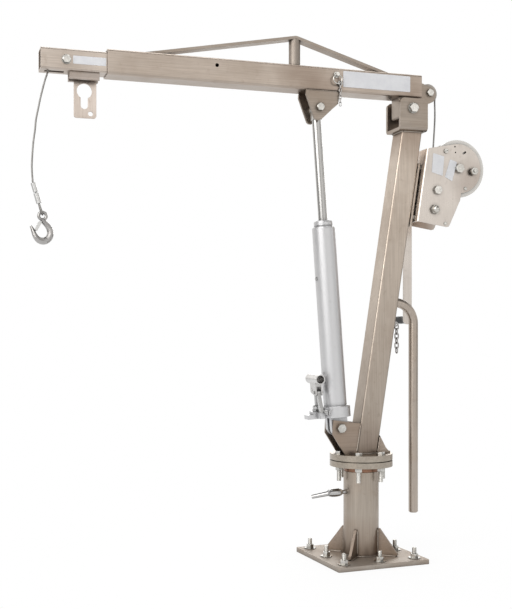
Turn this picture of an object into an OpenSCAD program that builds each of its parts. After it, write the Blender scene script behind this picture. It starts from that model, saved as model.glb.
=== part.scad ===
// Truck-bed jib crane: swivelling mast on a bolted base, hydraulic boom, sliding
// inner boom and a geared hand winch with wire cable. Millimetres, Z up, hook
// towards -X, winch towards +X, origin at the centre of the base plate's underside.

/* [Base] */
// Side of the square base plate
plate_w = 280; // [262:2:320]
// Thickness of the base plate
plate_t = 12.7; // [8:0.1:20]
// Turn of the base plate against the mast, degrees
plate_turn = 3.77; // [-10:0.01:10]
// Pitch of the anchor holes
anchor_pitch = 109.2; // [104:0.1:116]
// Anchor stud diameter
anchor_d = 12; // [10:1:14]
// Anchor stud length below the plate's underside
anchor_below = 50; // [20:1:80]
// Anchor stud height above the plate's underside
anchor_above = 43; // [36:1:55]
// Washer diameter
washer_d = 33; // [28:1:36]
// Washer thickness
washer_t = 2.5; // [1.5:0.1:4]
// Width across flats of the M12 nuts
nut_af = 19; // [18:0.5:22]
// Height of the M12 nuts
nut_h = 11; // [8:0.5:13]
// Outer diameter of the base post
post_d = 100; // [90:1:108]
// Top of the base post above the plate's underside
post_top = 248; // [235:1:300]
// Bore of the base post, for the pivot post
post_bore = 76; // [60:1:80]
// Thickness of the post gussets
gusset_t = 8; // [5:0.5:12]
// Reach of the post gussets from the post's axis
gusset_reach = 106; // [90:1:118]
// Height of the gussets at the post, above the plate's underside
gusset_top = 88; // [60:1:110]
// Height of the gussets' nose above the plate's underside
gusset_nose = 24; // [18:1:40]
// Height of the bronze thrust ring
ring_h = 15; // [10:1:20]
// Set-back of the thrust ring from the post's wall
ring_inset = 1.5; // [0.5:0.1:4]

/* [Swivel clamp] */
// Azimuth of the clamp stud
clamp_az = 188; // [178:1:198]
// Height of the clamp stud
clamp_z = 191; // [175:1:198]
// Diameter of the clamp stud
clamp_stud_d = 12; // [10:1:16]
// Distance of the lever hub's inner face from the post's axis
clamp_hub_in = 63; // [60:1:80]
// Length of the lever hub
clamp_hub_l = 45; // [40:1:56]
// Diameter of the lever hub
clamp_hub_d = 24; // [20:1:30]
// Length of the lever arm
clamp_arm = 56; // [45:1:80]
// Droop of the lever arm, degrees
clamp_droop = 14; // [0:1:40]
// Sideways sweep of the lever arm, degrees
clamp_sweep = -42; // [-60:1:-10]

/* [Mast] */
// Diameter of both swivel flanges
flange_d = 178; // [168:1:184]
// Thickness of the lower flange
low_flange_t = 16; // [12:0.5:20]
// Thickness of the mast flange
top_flange_t = 19.5; // [14:0.5:24]
// Pitch circle of the flange bolts
flange_pcd = 136; // [132:1:146]
// Diameter of the flange bolts
flange_bolt_d = 12; // [10:1:14]
// Number of flange bolts
flange_bolts_n = 6; // [6:6:6]
// Length of the pivot post inside the base post
pivot_len = 200; // [120:1:215]
// Side of the square mast tube
mast_s = 63.5; // [58:0.5:68]
// Wall of the mast tube
mast_wall = 4.8; // [3:0.1:8]
// Outer corner radius of the mast tube
mast_r = 6; // [5:0.5:9]
// Backward lean of the mast, degrees
mast_lean = 8.76; // [6:0.01:11]
// X of the mast's centre line at z = 0
mast_x0 = -41.75; // [-50:0.05:-34]
// Length of the mast, measured upright
mast_h = 917.5; // [880:0.5:960]
// Thickness of the foot and rear gusset plates
side_t = 6.35; // [5:0.05:8]
// Diameter of the ram's foot and head bolts
ram_bolt_d = 16; // [12:1:18]
// Foot pin in front of the mast's centre line
foot_out = 90.7; // [84:0.1:98]
// Foot pin above the mast flange
foot_up = 74.5; // [70:0.5:80]

/* [Head bracket] */
// Thickness of the bent head bracket
head_t = 9.5; // [6:0.5:12]
// Half width of the head bracket outside
head_half = 47; // [45:0.5:54]
// Outer bend radius of the head bracket
head_bend = 12; // [11:0.5:24]
// Length of the head bracket along the boom
head_len = 86.5; // [70:0.5:96]
// Height of the head bracket
head_h = 92; // [84:0.5:100]
// Height of the boom pivot above the mast's top
pivot_up = 63; // [60:0.5:70]
// Diameter of the boom pivot bolt
pivot_d = 16; // [12:1:20]
// Width across flats of the M16 heads
head_af = 24; // [22:0.5:27]

/* [Boom] */
// Side of the outer boom tube
boom_s = 66; // [62:0.5:70]
// Wall of the outer boom tube
boom_wall = 3.4; // [2.5:0.1:4]
// Outer corner radius of the outer boom tube
boom_r = 6; // [4:0.5:8]
// Length of the outer boom in front of the boom pivot
boom_front = 870.5; // [840:0.5:900]
// Length of the outer boom behind the boom pivot
boom_back = 35.2; // [32:0.1:44]
// Height of the boom's underside above the pivot
boom_up = 34; // [30:0.5:40]
// Half width of the boom's pivot lug
lug_half = 23; // [18:0.5:28]
// First lock hole in front of the boom pivot
lock_hole_x = 230; // [210:1:250]
// Travel of the inner boom between the two lock holes
reach = 345; // [300:1:360]
// Lock hole diameter
lock_hole_d = 10.2; // [8:0.1:14]
// Side of the inner boom tube
inner_s = 55; // [50:0.1:56.5]
// Wall of the inner boom tube
inner_wall = 3.2; // [2:0.1:4]
// Overhang of the inner boom in front of the outer boom
inner_out = 170.5; // [165:0.5:190]
// Length of the inner boom
inner_len = 921; // [860:1:960]
// Height of the truss bar's peak above the boom
truss_h = 84.5; // [70:0.5:120]
// Truss strut in front of the boom pivot
strut_x = 342; // [320:1:360]
// Diameter of the truss strut
strut_d = 32; // [24:1:36]
// Width of the truss bar
truss_w = 30; // [24:1:38]
// Thickness of the truss bar
truss_t = 8; // [5:0.5:10]
// Front end of the truss bar in front of the boom pivot
truss_front = 788; // [740:1:820]
// Rear end of the truss bar in front of the boom pivot
truss_back = 50; // [44:1:90]

/* [Sheaves and cable] */
// Wire cable diameter
cable_d = 4.8; // [4:0.1:5]
// Cable radius on the rear sheave
rear_r = 24; // [22:0.5:26]
// Rear sheave axle behind the boom pivot
rear_x = 70; // [68:0.5:76]
// Cable radius on the front sheave
front_r = 15; // [13:0.5:16]
// Front sheave axle behind the inner boom's front end
front_in = 65.3; // [60:0.1:72]
// Depth of the sheave rims over the cable's centre line
rim = 3.5; // [3:0.5:5]
// Width of the sheaves
sheave_w = 11; // [9:0.5:14]
// Diameter of the sheave axles
axle_d = 12; // [8:1:12]

/* [Ram] */
// Outer diameter of the ram's cylinder
cyl_d = 65; // [56:1:68]
// Wall of the ram's cylinder
cyl_wall = 6; // [4:0.5:9]
// Diameter of the gland cap on the cylinder's top
cap_d = 53; // [48:1:56]
// Diameter of the piston rod
rod_d = 25.4; // [20:0.1:32]
// Top of the cylinder above the foot pin
cyl_top = 570.5; // [520:0.5:600]
// Diameter of the base collar
collar_d = 83; // [76:1:90]
// Height of the base collar
collar_h = 32; // [24:1:40]
// Underside of the collar above the foot pin
collar_z = 31; // [28:0.5:36]
// Distance of the pump from the ram's axis
pump_x = 57; // [52:0.5:60]
// Outer diameter of the handle socket
socket_d = 28; // [26:0.5:32]
// Bore of the handle socket
socket_bore = 22; // [18:0.5:23]

/* [Winch] */
// Module of the drum gear pair
gear_m = 2.5; // [2.4:0.05:2.6]
// Teeth of the drum gear
drum_teeth = 63; // [61:1:65]
// Teeth of the pinion that drives the drum gear
pinion_teeth = 13; // [13:1:15]
// Module of the crank gear pair
fine_m = 2; // [1.9:0.05:2.05]
// Teeth of the intermediate gear
mid_teeth = 42; // [40:1:43]
// Teeth of the crank pinion
crank_teeth = 14; // [13:1:15]
// Thickness of the winch's side plates
side_plate_t = 4; // [3:0.5:5]
// Inner half width of the winch frame
winch_half = 44; // [43.5:0.5:48]
// Radius of the drum's smooth flange
drum_flange_r = 83; // [78:0.5:86]
// Diameter of the drum's barrel
barrel_d = 56; // [50:1:64]
// Radius of the side plates round the drum
side_r = 71; // [66:0.5:76]
// Thickness of the drum's flanges
drum_flange_t = 3; // [2:0.5:3]
// Radius of the cable's outer layer at its centre line
layer_r = 58.2; // [54:0.2:62]
// Turns in the outer layer of cable
turns = 9; // [5:1:9]
// Spacing of the turns
turn_pitch = 5.3; // [5.25:0.01:5.4]
// Length of the crank arm between its centres
crank_r = 315; // [280:1:340]
// Width of the crank arm
crank_w = 27; // [22:1:32]
// Thickness of the crank arm
crank_t = 6; // [5:0.5:8]
// Distance of the crank arm from the mast's middle plane
crank_y = 122; // [110:1:130]
// Length of the crank's grip
grip_l = 100; // [80:1:120]
// Diameter of the crank's grip
grip_d = 23; // [20:1:30]

/* [Swing handle] */
// Diameter of the swing handle's tube
swing_d = 27; // [22:0.5:32]
// Centre-line radius of the swing handle's bend
swing_bend = 60; // [50:1:70]
// X of the swing handle's upright part
swing_x = 164.5; // [162:0.5:172]
// Height of the swing handle's joint with the mast
swing_top = 727; // [700:1:760]
// Height of the swing handle's lower end
swing_low = 120.5; // [110:0.5:160]

/* [Hidden] */
$fn = 48;
// Running clearance of shafts and pins, on the radius
run = 0.05;
// Gap of faces that slide or turn past each other
gap = 0.3;
// Clearance of bolt holes, on the radius
fit = 0.5;

// Heights of the swivel's stack
ring_top = post_top + ring_h;
low_flange_z = ring_top + gap;
top_flange_z = low_flange_z + low_flange_t;
mast_z = top_flange_z + top_flange_t;
mast_top = mast_z + mast_h;
// Mast faces at a height
lean_tan = tan(mast_lean);
mast_hx = mast_s / 2 / cos(mast_lean);
function mast_c(z) = mast_x0 + lean_tan * z;
function mast_f(z) = mast_c(z) - mast_hx;
function mast_b(z) = mast_c(z) + mast_hx;
// Boom pivot
px = mast_c(mast_top) - 5.6;
pz = mast_top + pivot_up;
// Outer boom
boom_z = pz + boom_up;
boom_top = boom_z + boom_s;
boom_x0 = px - boom_front;
boom_x1 = px + boom_back;
// Inner boom
inner_z = boom_z + boom_wall + gap;
inner_x0 = boom_x0 - inner_out;
inner_x1 = inner_x0 + inner_len;
cable_z = inner_z + 41.8;
// Sheave centres
rs = [px + rear_x, cable_z - rear_r];
fs = [inner_x0 + front_in, cable_z - front_r];
cable_r = cable_d / 2;
// Ram pins
fx = mast_c(mast_z + foot_up) - foot_out;
fz = mast_z + foot_up;
hx = px - 279;
hz = pz - 12.5;
ram_len = sqrt(pow(hx - fx, 2) + pow(hz - fz, 2));
ram_lean = atan2(hx - fx, hz - fz);
// Winch place on the mast's back face, and its shafts as [away from mast, along mast]
winch_z = mast_top - 216;
drum_c = [122.5, 134];
pair1 = gear_m * (drum_teeth + pinion_teeth) / 2 + 0.15;
mid_dir = atan2(-74.6, -58.3);
mid_c = [drum_c[0] + pair1 * cos(mid_dir), drum_c[1] + pair1 * sin(mid_dir)];
pair2 = fine_m * (mid_teeth + crank_teeth) / 2 + 0.12;
crank_c = [mid_c[0], mid_c[1] - pair2];
winch_x = mast_b(winch_z);
function wx(p) = winch_x + p[0] * cos(mast_lean) + p[1] * sin(mast_lean);
function wz(p) = winch_z - p[0] * sin(mast_lean) + p[1] * cos(mast_lean);
// Drum widths along Y
drum_y0 = -winch_half + 1.5;
cable_y0 = drum_y0 + drum_flange_t + 0.3;
cable_w = (turns - 1) * turn_pitch + cable_d + 0.6;
drum_y1 = cable_y0 + cable_w;
gear_y0 = drum_y1 + drum_flange_t + 1;
gear_w = 11;
fine_y0 = gear_y0 + gear_w + 3;
fine_w = 10;

// An outline in X and Z, extruded from y0 to y1
module xz(y0, y1) {
    translate([0, y1, 0]) rotate([90, 0, 0]) linear_extrude(y1 - y0) children();
}
// The same outline on both sides of the middle plane
module xz_pair(inner, outer) {
    xz(inner, outer) children();
    xz(-outer, -inner) children();
}
// A round bar along Y
module ybar(x, z, d, y0, y1) {
    translate([x, y1, z]) rotate([90, 0, 0]) cylinder(d = d, h = y1 - y0);
}
// A hexagon along Y
module yhex(x, z, af, y0, y1) {
    translate([x, y1, z]) rotate([90, 0, 0]) cylinder(d = af / cos(30), h = y1 - y0, $fn = 6);
}
// A hexagon along Z
module zhex(af, h) {
    cylinder(d = af / cos(30), h = h, $fn = 6);
}
// A square with round corners
module rsq(w, h, r) {
    square([w - 2 * r, h], center = true);
    square([w, h - 2 * r], center = true);
    for (i = [-1, 1], j = [-1, 1]) translate([i * (w / 2 - r), j * (h / 2 - r)]) circle(r);
}
// A square tube's section
module tube_section(s, wall, r) {
    difference() {
        rsq(s, s, r);
        rsq(s - 2 * wall, s - 2 * wall, max(r - wall, 0.5));
    }
}
// The anchor places, eight of a three by three grid
module at_anchors() {
    rotate([0, 0, plate_turn])
        for (i = [-1:1], j = [-1:1])
            if (i != 0 || j != 0) translate([i * anchor_pitch, j * anchor_pitch, 0]) children();
}
// The flange bolt places
module at_flange_bolts() {
    for (i = [0:flange_bolts_n - 1])
        rotate([0, 0, i * 360 / flange_bolts_n]) translate([flange_pcd / 2, 0, 0]) children();
}

// Vector helpers and the sweep of a round tube along points
function unit(v) = v / norm(v);
function tangent(p, i) = i == 0 ? unit(p[1] - p[0])
    : i == len(p) - 1 ? unit(p[i] - p[i - 1])
    : unit(unit(p[i + 1] - p[i]) + unit(p[i] - p[i - 1]));
function ring_pts(c, t, r, sides, ref) =
    let (n = unit(cross(t, ref)), b = cross(n, t))
    [for (k = [0:sides - 1]) c + r * (cos(k * 360 / sides) * n + sin(k * 360 / sides) * b)];
module sweep(p, radii, sides = 8, ref = [0, 1, 0]) {
    rings = [for (i = [0:len(p) - 1])
        each ring_pts(p[i], tangent(p, i), is_list(radii) ? radii[i] : radii, sides, ref)];
    last = len(p) - 1;
    faces = [
        [for (k = [0:sides - 1]) sides - 1 - k],
        for (i = [0:last - 1], k = [0:sides - 1])
            each [[i * sides + k, i * sides + (k + 1) % sides, (i + 1) * sides + k],
                [i * sides + (k + 1) % sides, (i + 1) * sides + (k + 1) % sides, (i + 1) * sides + k]],
        [for (k = [0:sides - 1]) last * sides + k]
    ];
    polyhedron(points = rings, faces = faces, convexity = 6);
}
// A smooth curve through chosen points, with steps points in each span
function smooth(p, steps) = [
    for (i = [0:len(p) - 2], s = [0:steps - 1])
        let (t = s / steps,
            a = p[max(i - 1, 0)], b = p[i], c = p[i + 1], d = p[min(i + 2, len(p) - 1)])
        0.5 * (2 * b + (c - a) * t + (2 * a - 5 * b + 4 * c - d) * t * t
            + (3 * b - 3 * c + d - a) * t * t * t),
    p[len(p) - 1]
];

// Involute gear outline, one tooth centred on the +X direction; short cuts its tips back,
// and undercut narrows a small pinion's roots, in degrees
undercut = 0.5;
function inv_pt(base, a) = base * [cos(a) + a * PI / 180 * sin(a), sin(a) - a * PI / 180 * cos(a)];
function inv_a(base, r) = r <= base ? 0 : sqrt(pow(r / base, 2) - 1) * 180 / PI;
function polar(r, a) = [r * cos(a), r * sin(a)];
function flank(base, r) = let (a = inv_a(base, r), q = inv_pt(base, a)) atan2(q[1], q[0]);
function gear_outline(m, teeth, slack, short = 0) =
    let (pr = m * teeth / 2, base = pr * cos(20), tip = pr + m - short, root = pr - 1.25 * m,
        half = 90 / teeth - slack / pr * 90 / PI, start = max(base, root),
        at_pitch = flank(base, pr),
        radii = [for (k = [0:3]) start + (tip - start) * k / 3])
    [for (t = [0:teeth - 1]) let (c = t * 360 / teeth)
        each concat(
            [polar(root, c - half - at_pitch + (root < base ? undercut : 0))],
            [for (r = radii) if (r > root + 0.01) polar(r, c - half - at_pitch + flank(base, r))],
            [for (k = [3:-1:0]) if (radii[k] > root + 0.01)
                polar(radii[k], c + half + at_pitch - flank(base, radii[k]))],
            [polar(root, c + half + at_pitch - (root < base ? undercut : 0))])];

// The winch's own frame: X away from the mast, Z along it
module on_mast() {
    translate([winch_x, 0, winch_z]) rotate([0, mast_lean, 0]) children();
}
module wbar(c, d, y0, y1) {
    ybar(c[0], c[1], d, y0, y1);
}
module whex(c, af, y0, y1) {
    yhex(c[0], c[1], af, y0, y1);
}
// A gear on a winch shaft: turned so that a tooth or a gap faces the angle face
module wgear(c, m, teeth, slack, face, tooth, y0, y1, short = 0) {
    turn = face + (tooth ? 0 : 180 / teeth);
    translate([c[0], y1, c[1]]) rotate([90, 0, 0]) rotate([0, 0, turn])
        linear_extrude(y1 - y0) polygon(gear_outline(m, teeth, slack, short));
}

// Base plate with its anchor holes
module base_plate() {
    color("dimgray") difference() {
        rotate([0, 0, plate_turn]) linear_extrude(plate_t) rsq(plate_w, plate_w, 5);
        at_anchors() translate([0, 0, -1]) cylinder(d = anchor_d + 2 * fit, h = plate_t + 2);
    }
}
// Base post, bored for the pivot post and the clamp's stud
module base_post() {
    color("gray") difference() {
        translate([0, 0, plate_t]) cylinder(d = post_d, h = post_top - plate_t, $fn = 96);
        translate([0, 0, plate_t - 1]) cylinder(d = post_bore, h = post_top, $fn = 96);
        rotate([0, 0, clamp_az]) translate([0, 0, clamp_z]) rotate([0, 90, 0])
            cylinder(d = clamp_stud_d + 2 * run, h = post_d);
    }
}
// Four gussets on the plate's diagonals
module base_gussets() {
    color("gray") rotate([0, 0, plate_turn])
        for (i = [0:3]) rotate([0, 0, 45 + 90 * i]) difference() {
            xz(-gusset_t / 2, gusset_t / 2) polygon([
                [post_d / 2 - 3, plate_t], [gusset_reach - 3, plate_t], [gusset_reach, plate_t + 3],
                [gusset_reach, gusset_nose - 2], [gusset_reach - 3, gusset_nose],
                [post_d / 2 + 5, gusset_top], [post_d / 2 - 3, gusset_top]]);
            cylinder(d = post_d, h = gusset_top + 1, $fn = 96);
        }
}
// Bronze thrust ring between post and lower flange
module thrust_ring() {
    color("#5d4038") translate([0, 0, post_top]) difference() {
        cylinder(d = post_d - 2 * ring_inset, h = ring_h, $fn = 96);
        translate([0, 0, -1]) cylinder(d = post_bore + 0.6, h = ring_h + 2, $fn = 96);
    }
}
// Anchor studs, through plate and bed: full size in the bed, a little slimmer where they carry thread
thread_d = anchor_d - 0.2;
module anchor_studs() {
    color("silver") at_anchors() {
        translate([0, 0, -anchor_below]) cylinder(d = anchor_d, h = anchor_below - 0.5);
        translate([0, 0, -1]) cylinder(d = thread_d, h = anchor_above);
        translate([0, 0, anchor_above - 1]) cylinder(d1 = thread_d, d2 = thread_d - 2, h = 1);
    }
}
// A nut with its chamfered upper face
module nut(af, h, bore) {
    difference() {
        intersection() {
            zhex(af, h);
            union() {
                cylinder(d = af / cos(30) + 1, h = h - 1.2);
                translate([0, 0, h - 1.2]) cylinder(d1 = af / cos(30) + 0.4, d2 = af - 0.6, h = 1.2);
            }
        }
        translate([0, 0, -1]) cylinder(d = bore, h = h + 2);
    }
}
module anchor_nuts() {
    color("silver") at_anchors() translate([0, 0, plate_t + washer_t]) rotate([0, 0, 12])
        nut(nut_af, nut_h, thread_d + 2 * run);
}
module anchor_washers() {
    color("silver") at_anchors() translate([0, 0, plate_t]) difference() {
        cylinder(d = washer_d, h = washer_t);
        translate([0, 0, -1]) cylinder(d = anchor_d + 2 * fit, h = washer_t + 2);
    }
}
// Swivel clamp: stud, oval hub and a tapered arm, cranked off the hub's end
module clamp_lever() {
    color("silver") rotate([0, 0, clamp_az]) translate([0, 0, clamp_z]) {
        translate([post_bore / 2 + 4, 0, 0]) rotate([0, 90, 0])
            cylinder(d = clamp_stud_d, h = clamp_hub_in - post_bore / 2 - 4 + 3);
        translate([clamp_hub_in, 0, 0]) {
            union() {
                rotate([0, 90, 0]) rotate_extrude() polygon([[0, 0], [clamp_hub_d * 0.28, 0],
                    [clamp_hub_d * 0.39, clamp_hub_l * 0.1], [clamp_hub_d * 0.47, clamp_hub_l * 0.25],
                    [clamp_hub_d * 0.5, clamp_hub_l * 0.42], [clamp_hub_d * 0.5, clamp_hub_l * 0.6],
                    [clamp_hub_d * 0.47, clamp_hub_l * 0.78], [clamp_hub_d * 0.4, clamp_hub_l * 0.93],
                    [clamp_hub_d * 0.34, clamp_hub_l], [0, clamp_hub_l]]);
            }
            translate([clamp_hub_l - 9, 0, 0]) rotate([0, 90 + clamp_droop, clamp_sweep])
                cylinder(d1 = 14.5, d2 = 11.4, h = clamp_arm);
        }
    }
}
// Relief between the two flanges
groove_h = 2.8;
groove_in = 8;
// Pivot post under the lower flange
module pivot_post() {
    color("silver") translate([0, 0, low_flange_z - pivot_len])
        cylinder(d = post_bore - 2 * run, h = pivot_len, $fn = 96);
}
module flange_holes(z, h) {
    at_flange_bolts() translate([0, 0, z - 1]) cylinder(d = flange_bolt_d + 2 * fit, h = h + 2);
}
module lower_flange() {
    color("gray") difference() {
        translate([0, 0, low_flange_z]) cylinder(d = flange_d, h = low_flange_t, $fn = 128);
        flange_holes(low_flange_z, low_flange_t);
    }
}
module mast_flange() {
    color("gray") difference() {
        translate([0, 0, top_flange_z]) {
            cylinder(d = flange_d - 2 * groove_in, h = groove_h, $fn = 128);
            translate([0, 0, groove_h]) cylinder(d = flange_d, h = top_flange_t - groove_h, $fn = 128);
        }
        flange_holes(top_flange_z, top_flange_t);
    }
}
// Flange bolts: heads above, threaded ends below the lower flange
bolt_head_h = 8;
bolt_end = 41;
module flange_bolts() {
    color("silver") at_flange_bolts() {
        translate([0, 0, low_flange_z - bolt_end]) cylinder(d = flange_bolt_d, h = mast_z - low_flange_z + bolt_end);
        translate([0, 0, mast_z]) rotate([0, 0, 20]) nut(nut_af, bolt_head_h, 0.0001);
    }
}
module flange_nuts() {
    color("silver") at_flange_bolts() translate([0, 0, low_flange_z]) rotate([180, 0, 7])
        nut(nut_af, nut_h, flange_bolt_d + 2 * run);
}
// Leaning mast, cut level at both ends
module mast_solid(grow) {
    translate([mast_x0, 0, 0]) rotate([0, mast_lean, 0])
        linear_extrude(1600) rsq(mast_s + grow, mast_s + grow, mast_r);
}
module mast_tube() {
    color("gray") difference() {
        intersection() {
            translate([mast_x0, 0, 0]) rotate([0, mast_lean, 0])
                linear_extrude(1600) tube_section(mast_s, mast_wall, mast_r);
            translate([-200, -100, mast_z]) cube([600, 200, mast_h]);
        }
    }
}
// Two plates in front of the mast that hold the ram's foot bolt
module ram_foot_bracket() {
    color("gray") difference() {
        xz_pair(mast_s / 2 - side_t, mast_s / 2) polygon([
            [fx - 22.5, fz + 23], [mast_f(fz + 11.5), fz + 11.5], [mast_f(mast_z), mast_z],
            [fx + 12, mast_z], [fx - 24.5, fz - 17]]);
        ybar(fx, fz, ram_bolt_d + 2 * run, -mast_s, mast_s);
    }
}
module mast_rear_gussets() {
    color("gray") xz_pair(mast_s / 2 - side_t, mast_s / 2) polygon([
        [mast_b(mast_z + 50.5), mast_z + 50.5], [62.4, mast_z + 16.5], [70.3, mast_z + 7.5],
        [76, mast_z + 6], [76, mast_z], [mast_b(mast_z), mast_z]]);
}
// A bolt along Y with a head on the near side and a nut on the far side
module cross_bolt(x, z, d, half, af, end, washer = 0) {
    head = d * 0.62;
    wash = washer > 0 ? 1.8 : 0;
    ybar(x, z, d, -half, half + head + end);
    if (washer > 0) ybar(x, z, washer, -half - wash, -half);
    yhex(x, z, af, -half - wash - head + 1.2, -half - wash);
    translate([x, -half - wash - head + 1.2, z]) rotate([90, 0, 0]) intersection() {
        zhex(af, 1.2);
        cylinder(d1 = af / cos(30) + 0.2, d2 = af - 0.8, h = 1.2);
    }
    difference() {
        yhex(x, z, af, half, half + head + 3);
        ybar(x, z, d, half - 1, half + head + 5);
    }
}
module ram_foot_bolt() {
    color("silver") cross_bolt(fx, fz, ram_bolt_d, mast_s / 2, 23, 6);
}
// Bent head bracket on the mast's top
module head_section() {
    difference() {
        union() {
            translate([-head_half + head_bend, 0]) square([2 * (head_half - head_bend), head_bend]);
            translate([-head_half, head_bend]) square([2 * head_half, head_h - head_bend]);
            for (i = [-1, 1]) translate([i * (head_half - head_bend), head_bend]) circle(head_bend);
        }
        translate([-head_half + head_t, head_bend]) square([2 * (head_half - head_t), head_h]);
        translate([-head_half + head_bend, head_t]) square([2 * (head_half - head_bend), head_h]);
        for (i = [-1, 1]) translate([i * (head_half - head_bend), head_bend]) circle(head_bend - head_t);
    }
}
head_x0 = px - 39.5;
module head_bracket() {
    color("gray") difference() {
        translate([head_x0 + head_len, 0, mast_top]) rotate([90, 0, -90]) linear_extrude(head_len) head_section();
        xz(-head_half - 1, head_half + 1) {
            difference() {
                translate([head_x0 - 1, mast_top + head_h - 14]) square([15, 15]);
                translate([head_x0 + 14, mast_top + head_h - 14]) circle(14);
            }
            difference() {
                translate([head_x0 + head_len - 14, mast_top + head_h - 14]) square([15, 15]);
                translate([head_x0 + head_len - 14, mast_top + head_h - 14]) circle(14);
            }
        }
        ybar(px, pz, pivot_d + 2 * run, -head_half - 1, head_half + 1);
    }
}
// Boom pivot bolt with the two spacers beside the lug
module head_pivot_bolt() {
    color("silver") {
        cross_bolt(px, pz, pivot_d, head_half, head_af, 6, 30);
        for (i = [-1, 1]) difference() {
            ybar(px, pz, pivot_d + 12, i > 0 ? lug_half + gap : -head_half + head_t,
                i > 0 ? head_half - head_t : -lug_half - gap);
            ybar(px, pz, pivot_d, -head_half, head_half);
        }
    }
}
// Bent swing handle behind the mast
swing_c = [swing_x - swing_bend, swing_top - swing_bend];
module swing_handle() {
    color("gray") difference() {
        union() {
            translate([swing_x, 0, swing_low + 3]) cylinder(d = swing_d, h = swing_c[1] - swing_low - 3);
            translate([swing_x, 0, swing_low]) cylinder(d1 = swing_d - 6, d2 = swing_d, h = 3);
            translate([swing_c[0], 0, swing_c[1]]) rotate([90, 0, 0]) rotate_extrude(angle = 90)
                translate([swing_bend, 0]) circle(d = swing_d);
            translate([mast_c(swing_top), 0, swing_top]) rotate([0, 90, 0])
                cylinder(d = swing_d, h = swing_c[0] - mast_c(swing_top));
        }
        mast_solid(0);
    }
}
// A chain link, long way along Z, its lower inner end at the origin
module link(l, w, d) {
    for (i = [-1, 1]) translate([i * (w - d) / 2, 0, 0]) cylinder(d = d, h = l - w, $fn = 16);
    for (i = [0, 1]) translate([0, 0, i * (l - w)]) rotate([90, 0, 0]) rotate([0, 0, i * 180 - 180])
        rotate_extrude(angle = 180, $fn = 24) translate([(w - d) / 2, 0]) circle(d = d, $fn = 16);
}
// A short chain: n links hung one in the next, the top link's crown at z = 0
module chain(n, l, w, d) {
    step = l - 2 * d - 0.4;
    for (i = [0:n - 1]) translate([0, 0, -i * step - l + w / 2]) rotate([0, 0, (i % 2) * 90]) link(l, w, d);
}
chain_top = 668;
module mast_chain() {
    color("silver") {
        translate([mast_b(chain_top) + 8.5, -20, chain_top]) chain(6, 21, 14, 3.6);
        difference() {
            translate([mast_b(chain_top) + 4, -20, chain_top - 3.3]) rotate([90, 0, 0]) difference() {
                cylinder(d = 16, h = 3.6, center = true);
                translate([3.6, 0, 0]) cylinder(d = 4.6, h = 5, center = true);
            }
            mast_solid(2 * gap);
        }
    }
}
// Winch mounting plate and pad on the mast's back
mount_t = 5.5;
pad_t = 5;
gap_t = 4;
back_w = pad_t + mount_t + gap_t;
mount_w = 48;
mount_y = 14;
mount_low = -26;
mount_high = 118;
module at_mount_bolts() {
    for (y = [-mount_y, mount_y], z = [mount_low, mount_high]) translate([0, y, z]) rotate([0, 90, 0]) children();
}
module winch_mount() {
    color("lightgray") on_mast() difference() {
        union() {
            translate([0, -mount_w / 2 + 4, -17]) cube([pad_t, mount_w - 8, 119]);
            translate([pad_t, 0, 37.5]) rotate([90, 0, 90]) linear_extrude(mount_t) rsq(mount_w, 185, 4);
        }
        at_mount_bolts() translate([0, 0, pad_t - 0.01]) cylinder(d = 10, h = mount_t + 1);
    }
}
// Places on the near side plate, [away from mast, along mast]
small_holes = [[100.6, 193.9], [105, 177.8]];
slot_c = [133.2, 182.5];
large_screw = [74, 175.4];
rivets = [[151.7, 80.6], [103.4, -31]];
stud_c = [167, 133.8];
// Bent winch frame: back plate and two side plates, with round bends between them
frame_top = 171;
frame_bend = 7;
module frame_bends() {
    w = winch_half + side_plate_t;
    translate([0, 0, -45]) linear_extrude(frame_top + 100) {
        translate([back_w + frame_bend, -w]) square([200, 2 * w]);
        translate([back_w, frame_bend - w]) square([frame_bend + 1, 2 * (w - frame_bend)]);
        for (i = [-1, 1]) translate([back_w + frame_bend, i * (w - frame_bend)]) circle(frame_bend);
    }
}
module side_shape() {
    polygon([[back_w, -40], [110, -40], [116, -37.5], [118.5, -31], [142, 50], [196, 110], [185, 178],
        [122, 206], [60, 191], [back_w, frame_top]]);
    translate(drum_c) circle(side_r, $fn = 96);
}
module side_clip() {
    intersection() {
        side_shape();
        union() {
            translate([back_w, -41]) square([126, 175]);
            translate(drum_c) circle(side_r, $fn = 96);
            polygon([[back_w, 100], [drum_c[0], 100], drum_c + side_r * [cos(105), sin(105)], [back_w, frame_top]]);
        }
    }
}
module winch_frame() {
    color("lightgray") on_mast() difference() {
        intersection() {
            union() {
                xz_pair(winch_half, winch_half + side_plate_t) side_clip();
                translate([back_w, -winch_half - 1, -40]) cube([side_plate_t, 2 * winch_half + 2, frame_top + 40]);
            }
            frame_bends();
        }
        wbar(drum_c, 16 + 2 * run, -60, 60);
        wbar(mid_c, 14 + 2 * run, -60, 60);
        wbar(crank_c, 16 + 2 * run, -60, 60);
        at_mount_bolts() translate([0, 0, back_w - 1]) cylinder(d = 10, h = 8);
        for (c = small_holes) wbar(c, 4.5, -winch_half - 6, -winch_half + 1);
        xz(-winch_half - 6, -winch_half + 1) translate(slot_c) rotate(38) {
            square([7, 6], center = true);
            for (i = [-1, 1]) translate([i * 3.5, 0]) circle(3);
        }
    }
}
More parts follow.
